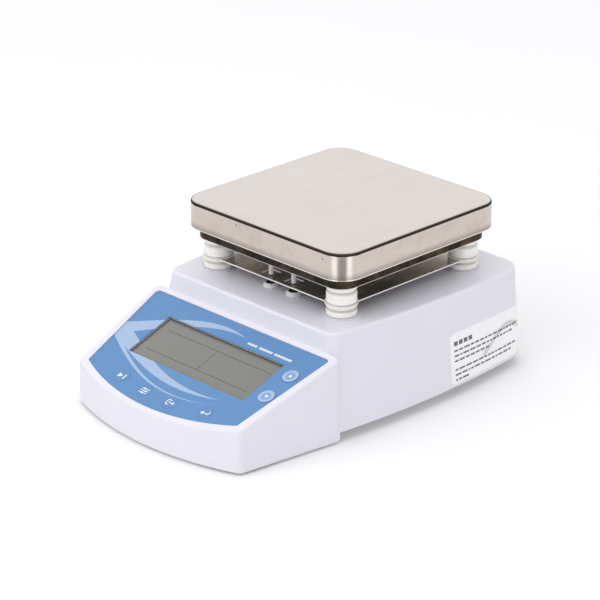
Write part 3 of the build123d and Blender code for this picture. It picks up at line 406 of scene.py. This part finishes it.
def braided_sleeve(name):
    """Glass-fibre sleeve, painted near-black under the heat shield as shade: two sets of strands that
    cross round the lead.
    """
    paint = Paint(name, Roughness=0.8, Sheen_Weight=0.2)
    strands = []
    for side in (-1, 1):
        turn = (side * 0.7, side * 0.7, 0)
        slanted = paint.node("ShaderNodeMapping", {"Vector": paint.place, "Rotation": turn})
        strands.append(paint.bands(420.0, 0.6, slanted.outputs[0]))
    weave = paint.math("MAXIMUM", *strands)
    tone = paint.mix(weave, (0.52, 0.50, 0.46), (0.90, 0.88, 0.83))
    # Painted shade: near-black under the heat shield.
    below_shield_painted_shade = paint.span(paint.axis(2), SHIELD_BOTTOM - 0.5 * MM, SHIELD_BOTTOM, 1.0, 0.0)
    paint.set("Base Color", paint.mix(below_shield_painted_shade, tone, (0.016, 0.015, 0.015)))
    paint.bump(weave, 0.00015)
    return paint


def zinc_sheet(name):
    """Zinc plated sheet with spangle and dull patches."""
    paint = Paint(name, Metallic=1.0)
    spangle = paint.cells(0.004, output="Color")
    tone = paint.node("ShaderNodeSeparateColor", {"Color": spangle}).outputs[0]
    paint.set("Base Color", paint.mix(tone, (0.52, 0.54, 0.57), (0.70, 0.71, 0.73)))
    dull = paint.noise(0.012, 4)
    gloss = paint.span(dull, 0.3, 0.7, 0.25, 0.42)
    paint.set("Roughness", paint.math("ADD", paint.math("MULTIPLY", tone, 0.12), gloss))
    paint.bump(paint.noise(0.0008, 3), 0.00001)
    return paint


def laminations(name):
    """Stack of lacquered sheets, seen as fine lines up the core."""
    paint = Paint(name, Metallic=0.7)
    layers = paint.bands(320.0, 0.15, paint.place)
    paint.set("Base Color", paint.mix(layers, (0.10, 0.09, 0.085), (0.32, 0.30, 0.28)))
    paint.set("Roughness", paint.span(paint.noise(0.004, 4), 0.3, 0.7, 0.35, 0.6))
    paint.bump(layers, 0.00008)
    return paint


def circuit_board(name):
    """Green solder mask with paler copper runs under it."""
    paint = Paint(name, Coat_Weight=0.3, Coat_Roughness=0.2)
    runs = paint.node(
        "ShaderNodeTexBrick",
        {
            "Vector": paint.place,
            "Scale": 90.0,
            "Mortar Size": 0.035,
            "Mortar Smooth": 0.1,
            "Color1": (0.02, 0.16, 0.06, 1),
            "Color2": (0.025, 0.19, 0.075, 1),
            "Mortar": (0.05, 0.30, 0.12, 1),
        },
    )
    paint.set("Base Color", runs.outputs["Color"])
    paint.set("Roughness", paint.span(paint.noise(0.004, 3), 0.3, 0.7, 0.30, 0.45))
    paint.bump(runs.outputs["Fac"], -0.00003)
    return paint


def fuse_glass(name):
    """Clear glass with a faint haze."""
    paint = Paint(name, IOR=1.5, Transmission_Weight=0.9)
    haze = paint.noise(0.002, 3)
    paint.set("Base Color", paint.mix(haze, (0.80, 0.86, 0.86), (0.93, 0.96, 0.95)))
    paint.set("Roughness", paint.span(haze, 0.3, 0.7, 0.03, 0.12))
    return paint


def heat_tinted(name):
    """Element sheath, browned by heat."""
    return metal(name, (0.42, 0.36, 0.30), 0.42, spread=0.25)


def display(name):
    """Unlit liquid crystal cell: grey-beige, shaded along its back and left edges."""
    paint = Paint(name, Coat_Weight=0.25, Coat_Roughness=0.06, Specular_IOR_Level=0.35)
    tone = paint.mix(paint.noise(0.06, 0), (0.211, 0.209, 0.187), (0.222, 0.220, 0.197))
    drift = paint.span(paint.axis(0), -0.05, 0.05, 0.0, 0.30)
    tone = paint.mix(drift, tone, (0.165, 0.165, 0.152))
    u, v = panel_coordinates(paint)
    from_left = paint.span(u, WINDOW_LEFT_U, WINDOW_LEFT_U + 2.6, 0.85, 0.0)
    from_back = paint.span(v, WINDOW_BACK_V - 3.2, WINDOW_BACK_V, 0.0, 0.85)
    shade = paint.math("MAXIMUM", from_left, from_back)
    tone = paint.mix(shade, tone, (0.02, 0.018, 0.017))
    paint.set("Base Color", tone)
    paint.set("Roughness", paint.span(paint.noise(0.05, 0), 0.0, 1.0, 0.24, 0.30))
    return paint


# ---- The panel's plane --------------------------------------------------------------------

def panel_frame():
    """Matrix of the overlay's top face: u right, v up the slope, w outwards, origin mid back edge."""
    mesh = frame["nodes"]["panel_overlay"].data
    flat = max(mesh.polygons, key=lambda polygon: polygon.area)
    outward = flat.normal.copy()
    if outward.z < 0:
        outward.negate()
    right = Vector((1, 0, 0))
    up_slope = outward.cross(right)
    height = max(vertex.co.dot(outward) for vertex in mesh.vertices)
    top = [vertex.co for vertex in mesh.vertices if vertex.co.dot(outward) > height - 0.05 * MM]
    back = max(point.dot(up_slope) for point in top)
    origin = up_slope * back + outward * height
    rotation = Matrix((right, up_slope, outward)).transposed().to_4x4()
    return Matrix.Translation(origin) @ rotation


PANEL = panel_frame()


def panel_coordinates(paint):
    """Sockets u and v on the panel, in millimetres."""
    offset = paint.vector_math("SUBTRACT", paint.place, PANEL.translation).outputs[0]
    found = []
    for column in (0, 1):
        axis = PANEL.col[column].to_3d() / MM
        found.append(paint.vector_math("DOT_PRODUCT", offset, axis).outputs["Value"])
    return found


def ribbon(paint, u, v, level, swing, crest, length, width, taper):
    """Mask of a curved band across the panel that narrows to nothing on the right."""
    phase = paint.math("DIVIDE", paint.math("SUBTRACT", u, crest), length)
    bend = paint.math("SUBTRACT", 1.0, paint.math("COSINE", phase))
    centre = paint.math("MULTIPLY_ADD", bend, swing, level)
    away = paint.math("ABSOLUTE", paint.math("SUBTRACT", v, centre))
    half = paint.math("MULTIPLY_ADD", u, -taper, width)
    return paint.span(paint.math("SUBTRACT", half, away), -0.12, 0.12)


def print_film(name, colour, waves=True, edge_shade_colour=(0.03, 0.055, 0.16)):
    """Printed polycarbonate film: blue ground, pale waves, fine texture, painted shade on its cut edge."""
    paint = Paint(name, Specular_IOR_Level=0.4)
    tone = paint.mottle(colour, 0.02, 0.02)
    if waves:
        u, v = panel_coordinates(paint)
        upper = ribbon(paint, u, v, -7.2, -29.0, 0.0, 43.0, 1.0, 0.078)
        lower = ribbon(paint, u, v, -61.0, 19.0, 12.0, 46.0, 2.2, 0.056)
        accent = ribbon(paint, u, v, -68.5, 27.0, 6.0, 50.0, 0.5, 0.014)
        mask = paint.math("MAXIMUM", upper, paint.math("MAXIMUM", lower, accent))
        tone = paint.mix(mask, tone, FILM_PALE)
    # Painted shade: faces turned away from the panel's outward direction take the edge shade colour.
    outward = PANEL.col[2].to_3d()
    facing = paint.vector_math("DOT_PRODUCT", paint.normal(), outward).outputs["Value"]
    edge = paint.span(facing, 0.5, 0.8, 1.0, 0.0)
    paint.set("Base Color", paint.mix(edge, tone, edge_shade_colour))
    paint.set("Roughness", paint.span(paint.noise(0.005, 3), 0.3, 0.7, 0.38, 0.50))
    paint.bump(paint.noise(0.00022, 1), 0.000006)
    return paint


# ---- Finishes of the CAD nodes ------------------------------------------------------------

FILM_BLUE = (0.112, 0.259, 0.510)
FILM_PALE = (0.370, 0.490, 0.690)
SHIELD_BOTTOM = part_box("heat_shield")[0].z
LUG_RUBBED = 10.6 * MM       # bare metal round each standoff
BUSH_MOUTH = 3.15 * MM
FINISHES = {
    "housing_plastic": lambda n: plastic(
        n, (0.775, 0.765, 0.835), 0.36, spread=0.008, Specular_IOR_Level=0.45
    ),
    "overlay_print": lambda n: print_film(n, FILM_BLUE),
    "function_key": lambda n: print_film(n, FILM_BLUE, edge_shade_colour=FILM_BLUE),
    "arrow_key": lambda n: print_film(n, (0.215, 0.365, 0.600), waves=False),
    "display": display,
    "black_plastic": lambda n: plastic(n, (0.022, 0.022, 0.024), 0.45, 0.0006, 0.00004, 0.1),
    "rocker_plastic": lambda n: plastic(n, (0.018, 0.018, 0.020), 0.28, 0.0010, 0.00001, 0.1),
    "stainless_plate": stainless_plate,
    "browned_steel": browned_steel,
    "polished_shield": polished_shield,
    "cast_aluminium": lambda n: metal(n, (0.72, 0.72, 0.73), 0.38, (1, 0.1, 1)),
    "element_sheath": heat_tinted,
    "ceramic_fibre": ceramic_fibre,
    "ceramic": ceramic,
    "silicone": lambda n: rubber(n, (0.70, 0.69, 0.72), 0.00001),
    "foot_rubber": lambda n: rubber(n, (0.035, 0.035, 0.037)),
    "bush_nylon": bush_nylon,
    "lead_sleeve": braided_sleeve,
    "zinc_sheet": zinc_sheet,
    "zinc_fastener": lambda n: metal(n, (0.66, 0.66, 0.67), 0.34),
    "bronze": lambda n: metal(n, (0.62, 0.42, 0.24), 0.45, spread=0.15),
    "ferrite": lambda n: plastic(n, (0.05, 0.05, 0.055), 0.6, 0.0004, 0.00005, 0.15),
    "laminations": laminations,
    "ground_steel": lambda n: metal(n, (0.62, 0.62, 0.63), 0.22, (1, 1, 0.05)),
    "nickel": lambda n: metal(n, (0.74, 0.72, 0.68), 0.20),
    "connector_plate": lambda n: plastic(n, (0.50, 0.50, 0.53), 0.5, 0.0006, 0.00005, 0.03),
    "fuse_glass": fuse_glass,
    "circuit_board": circuit_board,
}


def finish_cad_nodes():
    """Gives every CAD node the material of its slot."""
    made = {}
    for subpart in frame["record"]["subparts"]:
        slot = subpart["material_slot"]
        if slot not in made:
            made[slot] = FINISHES[slot](slot).material
        for material_slot in frame["nodes"][subpart["node"]].material_slots:
            material_slot.material = made[slot]


# ---- Thin printed pieces ------------------------------------------------------------------

def new_piece(name, mesh, material, body):
    """Object from a bmesh, riding on a body."""
    data = bpy.data.meshes.new(name)
    bmesh.ops.recalc_face_normals(mesh, faces=mesh.faces)
    mesh.to_mesh(data)
    mesh.free()
    piece = bpy.data.objects.new(name, data)
    bpy.context.scene.collection.objects.link(piece)
    data.materials.append(material)
    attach(piece, body)
    return piece


def prism(mesh, outline, place, low=PRINT_LOW, high=PRINT_HIGH):
    """Closed slab from an outline in millimetres, put in place by a matrix."""
    rings = []
    for level in (low, high):
        points = [Vector((x * MM, y * MM, level * MM)) for x, y in outline]
        rings.append([mesh.verts.new(place @ point) for point in points])
    mesh.faces.new(list(reversed(rings[0])))
    mesh.faces.new(rings[1])
    for index in range(len(outline)):
        after = (index + 1) % len(outline)
        mesh.faces.new((rings[0][index], rings[0][after], rings[1][after], rings[1][index]))


def disc(radius, centre=(0, 0), count=40, start=0.0, sweep=2 * math.pi):
    """Points of a circle or an arc."""
    steps = count if sweep >= 2 * math.pi else count + 1
    return [
        (centre[0] + radius * math.cos(start + sweep * i / count),
         centre[1] + radius * math.sin(start + sweep * i / count))
        for i in range(steps)
    ]


def bar(x0, y0, x1, y1, width):
    """Outline of a straight bar with rounded ends."""
    angle = math.atan2(y1 - y0, x1 - x0)
    half = width / 2
    head = disc(half, (x1, y1), 8, angle - math.pi / 2, math.pi)
    tail = disc(half, (x0, y0), 8, angle + math.pi / 2, math.pi)
    return head + tail


def annulus(mesh, inner, outer, place, count=64):
    """Closed flat ring."""
    loops = []
    for radius, level in (
        (inner, PRINT_LOW),
        (outer, PRINT_LOW),
        (outer, PRINT_HIGH),
        (inner, PRINT_HIGH),
    ):
        points = [Vector((x * MM, y * MM, level * MM)) for x, y in disc(radius, count=count)]
        loops.append([mesh.verts.new(place @ point) for point in points])
    for index in range(4):
        here, there = loops[index], loops[(index + 1) % 4]
        for i in range(count):
            j = (i + 1) % count
            mesh.faces.new((here[i], here[j], there[j], there[i]))


def ink(name, colour):
    """Screen-printed ink: slightly uneven cover and a fine orange-peel."""
    paint = Paint(name, Specular_IOR_Level=0.4)
    paint.set("Base Color", paint.mottle(colour, 0.03, 0.0015))
    paint.set("Roughness", paint.span(paint.noise(0.001, 2), 0.3, 0.7, 0.40, 0.53))
    paint.bump(paint.noise(0.0002, 1), 0.000004)
    return paint.material


def key_place(node):
    """Matrix at the middle of a key's top, in the panel's directions."""
    inverse = PANEL.inverted()
    points = [inverse @ vertex.co for vertex in frame["nodes"][node].data.vertices]
    top = max(point.z for point in points)
    rim = [point for point in points if point.z > top - 0.01 * MM]
    u = (min(point.x for point in rim) + max(point.x for point in rim)) / 2
    v = (min(point.y for point in rim) + max(point.y for point in rim)) / 2
    return PANEL @ Matrix.Translation((u, v, top))


def arrow_marks(white, pale):
    """Ring and triangle of the two arrow keys."""
    for name, side in (("up", 1), ("down", -1)):
        place = key_place("key_" + name)
        mesh = bmesh.new()
        annulus(mesh, *KEY_RING, place)
        new_piece(name + "_key_ring", mesh, pale, name + "_button")
        mesh = bmesh.new()
        prism(mesh, [(-1.5, -side * 0.9), (1.5, -side * 0.9), (0, side * 1.4)], place)
        new_piece(name + "_key_triangle", mesh, white, name + "_button")


def pictogram_start(mesh, place):
    """Triangle and a bar."""
    prism(mesh, [(-2.6, -1.7), (-2.6, 1.7), (0.4, 0)], place)
    prism(mesh, bar(1.9, -1.4, 1.9, 1.4, 0.8), place)


def pictogram_set(mesh, place):
    """Three sliders."""
    for row, knob in ((1.5, -1.0), (0.0, 1.2), (-1.5, -0.2)):
        prism(mesh, bar(-2.6, row, 2.6, row, 0.42), place)
        prism(mesh, disc(0.62, (knob, row), 20), place, PRINT_LOW, 2 * PRINT_HIGH)


def pictogram_exit(mesh, place):
    """Arrow that leaves a frame."""
    prism(mesh, bar(-2.4, -1.7, -2.4, 1.7, 0.5), place)
    prism(mesh, bar(-2.4, 1.7, -0.4, 1.7, 0.5), place)
    prism(mesh, bar(-2.4, -1.7, -0.4, -1.7, 0.5), place)
    prism(mesh, bar(-1.0, 0, 1.8, 0, 0.5), place)
    prism(mesh, [(1.4, -1.1), (3.0, 0), (1.4, 1.1)], place)


def pictogram_enter(mesh, place):
    """Return arrow."""
    prism(mesh, bar(2.4, 1.6, 2.4, -0.5, 0.5), place)
    prism(mesh, bar(2.4, -0.5, -1.4, -0.5, 0.5), place)
    prism(mesh, [(-1.0, -1.7), (-1.0, 0.7), (-2.9, -0.5)], place)


PICTOGRAMS = {
    "start": pictogram_start,
    "set": pictogram_set,
    "exit": pictogram_exit,
    "enter": pictogram_enter,
}


def key_marks(white):
    """White pictograms of the four function keys."""
    scale = Matrix.Diagonal((KEY_MARK_SCALE, KEY_MARK_SCALE, 1, 1))
    for name, draw in PICTOGRAMS.items():
        mesh = bmesh.new()
        draw(mesh, key_place("key_" + name) @ scale)
        new_piece(name + "_key_mark", mesh, white, name + "_button")


def title_blocks(white):
    """Rows of plain blocks in place of the panel's wording."""
    mesh = bmesh.new()
    width, height = TITLE_BLOCK
    for start, count in TITLE_GROUPS:
        for index in range(count):
            left = start + index * TITLE_PITCH
            right = left + width
            low, high = TITLE_V - height / 2, TITLE_V + height / 2
            prism(mesh, [(left, low), (right, low), (right, high), (left, high)], PANEL)
    new_piece("panel_title_blocks", mesh, white, "housing")


def cell_lines(dark):
    """Thin lines on the display cell."""
    mesh = bmesh.new()
    place = PANEL @ Matrix.Translation((0, 0, -CELL_DEPTH * MM))
    for (x0, y0), (x1, y1) in CELL_LINES:
        prism(mesh, bar(x0, y0, x1, y1, CELL_LINE_WIDTH), place)
    new_piece("display_lines", mesh, dark, "housing")


def surface_tree(node):
    """Search tree of a CAD node's faces."""
    mesh = frame["nodes"][node].data
    corners = [vertex.co for vertex in mesh.vertices]
    return BVHTree.FromPolygons(corners, [polygon.vertices for polygon in mesh.polygons])


def rocker_marks(white):
    """Line and circle on the power rocker."""
    tree = surface_tree("rocker")
    low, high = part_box("rocker")
    middle = (low + high) / 2
    mesh = bmesh.new()
    for side in (-1, 1):
        start = Vector((middle.x, high.y + RAY_REACH, middle.z + side * ROCKER_MARK_OFFSET * MM))
        hit, normal, _, _ = tree.ray_cast(start, Vector((0, -1, 0)))
        right = Vector((-1, 0, 0))
        up = normal.cross(right)
        place = Matrix.Translation(hit) @ Matrix((right, up, normal)).transposed().to_4x4()
        if side > 0:
            annulus(mesh, *ROCKER_RING, place)
        else:
            prism(mesh, bar(0, -1.2, 0, 1.2, 0.45), place)
    new_piece("rocker_marks", mesh, white, "power_rocker")


# ---- Side label ---------------------------------------------------------------------------

def label_surface():
    """Function from (distance along the wall, height) in millimetres to a point and normal on it."""
    tree = surface_tree("upper_housing")
    corner = Vector((CORNER_CENTRE[0] * MM, PLATE_Y + CORNER_CENTRE[1] * MM, 0))
    straight = CORNER_CENTRE[1] - LABEL_START_Y

    def find(along, height):
        turn = max(0.0, (along - straight) / CORNER_TURN_R)
        y = corner.y if along > straight else PLATE_Y + (LABEL_START_Y + along) * MM
        outward = Vector((math.cos(turn), math.sin(turn), 0))
        start = Vector((corner.x, y, height * MM)) + outward * RAY_REACH
        hit, normal, _, _ = tree.ray_cast(start, -outward)
        return hit, normal

    return find


def rounded_height(along):
    """How far the label's rounded corners cut in from its top and bottom edges."""
    end = min(along, LABEL_LENGTH - along)
    if end >= LABEL_CORNER_R:
        return 0.0
    return LABEL_CORNER_R - math.sqrt(max(0.0, LABEL_CORNER_R ** 2 - (LABEL_CORNER_R - end) ** 2))


def label_patch(mesh, find, span_x, span_y, lifts, steps, rounded=False):
    """Closed thin sheet on the wall: x along it, y up from the label's lower edge."""
    x0, x1 = span_x
    y0, y1 = span_y
    steps_x, steps_y = steps
    layers = []
    for lift in lifts:
        rows = []
        for i in range(steps_x + 1):
            along = x0 + (x1 - x0) * i / steps_x
            cut = rounded_height(along) if rounded else 0.0
            row = []
            for j in range(steps_y + 1):
                up = y0 + cut + (y1 - y0 - 2 * cut) * j / steps_y
                hit, normal = find(along, LABEL_BOTTOM_Z + up)
                row.append(mesh.verts.new(hit + normal * lift * MM))
            rows.append(row)
        layers.append(rows)
    under, over = layers
    for i in range(steps_x):
        for j in range(steps_y):
            mesh.faces.new((over[i][j], over[i + 1][j], over[i + 1][j + 1], over[i][j + 1]))
            mesh.faces.new((under[i][j + 1], under[i + 1][j + 1], under[i + 1][j], under[i][j]))
    for i in range(steps_x):
        mesh.faces.new((under[i][0], under[i + 1][0], over[i + 1][0], over[i][0]))
        mesh.faces.new((over[i][-1], over[i + 1][-1], under[i + 1][-1], under[i][-1]))
    for j in range(steps_y):
        mesh.faces.new((over[0][j], over[0][j + 1], under[0][j + 1], under[0][j]))
        mesh.faces.new((under[-1][j], under[-1][j + 1], over[-1][j + 1], over[-1][j]))


def side_label(paper, ink_grey):
    """White sticker with plain bars in place of its wording."""
    find = label_surface()
    mesh = bmesh.new()
    sheet = (-LABEL_SUNK, LABEL_THICKNESS)
    label_patch(mesh, find, (0, LABEL_LENGTH), (0, LABEL_HEIGHT), sheet, (96, 16), rounded=True)
    sticker = new_piece("side_label", mesh, paper, "housing")
    for polygon in sticker.data.polygons:
        polygon.use_smooth = True
    chance = random.Random(11)
    mesh = bmesh.new()
    printed = (LABEL_THICKNESS - 0.04, LABEL_THICKNESS + 0.03)
    foot, head, end = LABEL_HEADER
    along = LABEL_MARGIN
    while along < end:
        label_patch(mesh, find, (along, along + LABEL_BLOCK), (foot, head), printed, (2, 1))
        along += LABEL_BLOCK_PITCH
    for row, end in LABEL_ROWS:
        along = LABEL_MARGIN
        while along < end:
            word = chance.uniform(*LABEL_WORD)
            label_patch(mesh, find, (along, along + word), (row, row + LABEL_TEXT_HEIGHT), printed, (3, 1))
            along += word + LABEL_WORD_GAP
    new_piece("side_label_bars", mesh, ink_grey, "housing")


def paper_material():
    """Glossy vinyl label with a pale grey wave."""
    paint = Paint("label_vinyl", Coat_Weight=0.3, Coat_Roughness=0.2)
    tone = paint.mottle((0.93, 0.93, 0.945), 0.010, 0.01)
    phase = paint.math("DIVIDE", paint.math("SUBTRACT", paint.axis(1), PLATE_Y + 0.050), 0.011)
    centre = paint.math("MULTIPLY_ADD", paint.math("SINE", phase), 0.0075, 0.024)
    away = paint.math("ABSOLUTE", paint.math("SUBTRACT", paint.axis(2), centre))
    starts = paint.span(paint.axis(1), PLATE_Y + 0.040, PLATE_Y + 0.044)
    wave = paint.math("MULTIPLY", paint.span(away, 0.0018, 0.0021, 1.0, 0.0), starts)
    paint.set("Base Color", paint.mix(wave, tone, (0.66, 0.66, 0.68)))
    paint.set("Roughness", paint.span(paint.noise(0.006, 3), 0.3, 0.7, 0.30, 0.42))
    paint.bump(paint.noise(0.003, 2), 0.00001)
    return paint.material


# ---- Floor, lights, camera ----------------------------------------------------------------

def floor():
    """Large pale floor."""
    mesh = bmesh.new()
    bmesh.ops.create_grid(mesh, x_segments=1, y_segments=1, size=6.0)
    data = bpy.data.meshes.new("floor")
    mesh.to_mesh(data)
    mesh.free()
    piece = bpy.data.objects.new("floor", data)
    bpy.context.scene.collection.objects.link(piece)
    paint = Paint("floor_paper", Roughness=0.9, Specular_IOR_Level=0.1)
    paint.set("Base Color", paint.mottle((0.93, 0.93, 0.935), 0.003, 0.2))
    data.materials.append(paint.material)
    piece.visible_glossy = False


def direction(azimuth, elevation):
    """Unit vector towards an azimuth, counted from the front to the right, and an elevation; radians."""
    level = math.cos(elevation)
    return Vector((math.sin(azimuth) * level, -math.cos(azimuth) * level, math.sin(elevation)))


def area_light(name, azimuth, elevation, size, power):
    """Soft light aimed at the object, hidden from reflections; angles in degrees."""
    data = bpy.data.lights.new(name, "AREA")
    data.shape = "DISK"
    data.size = size
    data.energy = power
    light = bpy.data.objects.new(name, data)
    bpy.context.scene.collection.objects.link(light)
    out = direction(math.radians(azimuth), math.radians(elevation))
    light.location = out * LIGHT_DISTANCE
    light.rotation_euler = out.to_track_quat("Z", "Y").to_euler()
    light.visible_glossy = False


class World(Nodes):
    """Surroundings: an even soft glow, and for reflections a studio with dark gaps between its screens."""

    def __init__(self):
        world = bpy.data.worlds.new("studio")
        bpy.context.scene.world = world
        super().__init__(world)
        self.place = self.node("ShaderNodeTexCoord").outputs["Generated"]

    def lobe(self, unit, low, high):
        """1 near a direction, 0 away from it."""
        return self.span(self.vector_math("DOT_PRODUCT", self.place, unit).outputs["Value"], low, high)

    def band(self, value, low, low_end, high_start, high):
        """1 between two values, with soft ends."""
        falling = self.span(value, high_start, high, 1.0, 0.0)
        return self.math("MULTIPLY", self.span(value, low, low_end), falling)

    def build(self):
        towards = direction(CAMERA_AZIMUTH, 0)
        behind = self.lobe(direction(CAMERA_AZIMUTH + math.pi, CAMERA_ELEVATION), 0.2, 0.75)
        upper = self.mix(behind, (0.80, 0.785, 0.77), (0.96, 0.95, 0.94))
        height = self.node("ShaderNodeSeparateXYZ", {"Vector": self.place}).outputs[2]
        facing = self.lobe(towards, 0.0, 1.0)
        flank = self.band(facing, 0.55, 0.72, 0.80, 0.90)
        level = self.band(height, -0.46, -0.41, -0.37, -0.32)
        gap = self.math("MULTIPLY", self.span(facing, 0.84, 0.89), level)
        lower = self.mix(flank, (0.86, 0.83, 0.80), (1.35, 1.33, 1.3))
        lower = self.mix(gap, lower, (0.10, 0.095, 0.09))
        studio = self.mix(self.span(height, -0.02, 0.02), lower, upper)
        horizon = self.band(height, -0.28, -0.20, 0.0, 0.08)
        studio = self.mix(horizon, studio, (0.012, 0.011, 0.010))
        rays = self.node("ShaderNodeLightPath")
        seen = self.mix(rays.outputs["Is Glossy Ray"], (0.90, 0.90, 0.915), studio)
        background = self.node("ShaderNodeBackground", {"Color": seen, "Strength": 1.0})
        output = self.node("ShaderNodeOutputWorld")
        self.tree.links.new(background.outputs[0], output.inputs["Surface"])


def camera():
    """Camera at the reference view."""
    back = direction(CAMERA_AZIMUTH, CAMERA_ELEVATION)
    right = direction(CAMERA_AZIMUTH + math.pi / 2, 0)
    up = back.cross(right)
    target = Vector(((PLATE_LOW.x + PLATE_HIGH.x) / 2, PLATE_Y, PLATE_HIGH.z))
    data = bpy.data.cameras.new("camera")
    data.lens = CAMERA_LENS
    data.sensor_width = SENSOR
    data.clip_end = 50
    view = bpy.data.objects.new("camera", data)
    bpy.context.scene.collection.objects.link(view)
    place = target + back * CAMERA_DISTANCE + right * CAMERA_RIGHT + up * CAMERA_UP
    view.matrix_world = Matrix.Translation(place) @ Matrix((right, up, back)).transposed().to_4x4()
    bpy.context.scene.camera = view


camera()
World().build()
floor()
area_light("key_light", -15, 38, 1.4, 5.1)
area_light("top_light", 0, 85, 1.6, 5.7)
finish_cad_nodes()
WHITE = ink("white_ink", (0.86, 0.88, 0.91))
PALE = ink("pale_blue_ink", (0.37, 0.49, 0.70))
LINE = ink("display_line", (0.085, 0.083, 0.075))
GREY = ink("label_ink", (0.16, 0.16, 0.17))
arrow_marks(WHITE, PALE)
key_marks(WHITE)
title_blocks(WHITE)
cell_lines(LINE)
rocker_marks(WHITE)
side_label(paper_material(), GREY)

bpy.context.scene.view_settings.view_transform = "Standard"
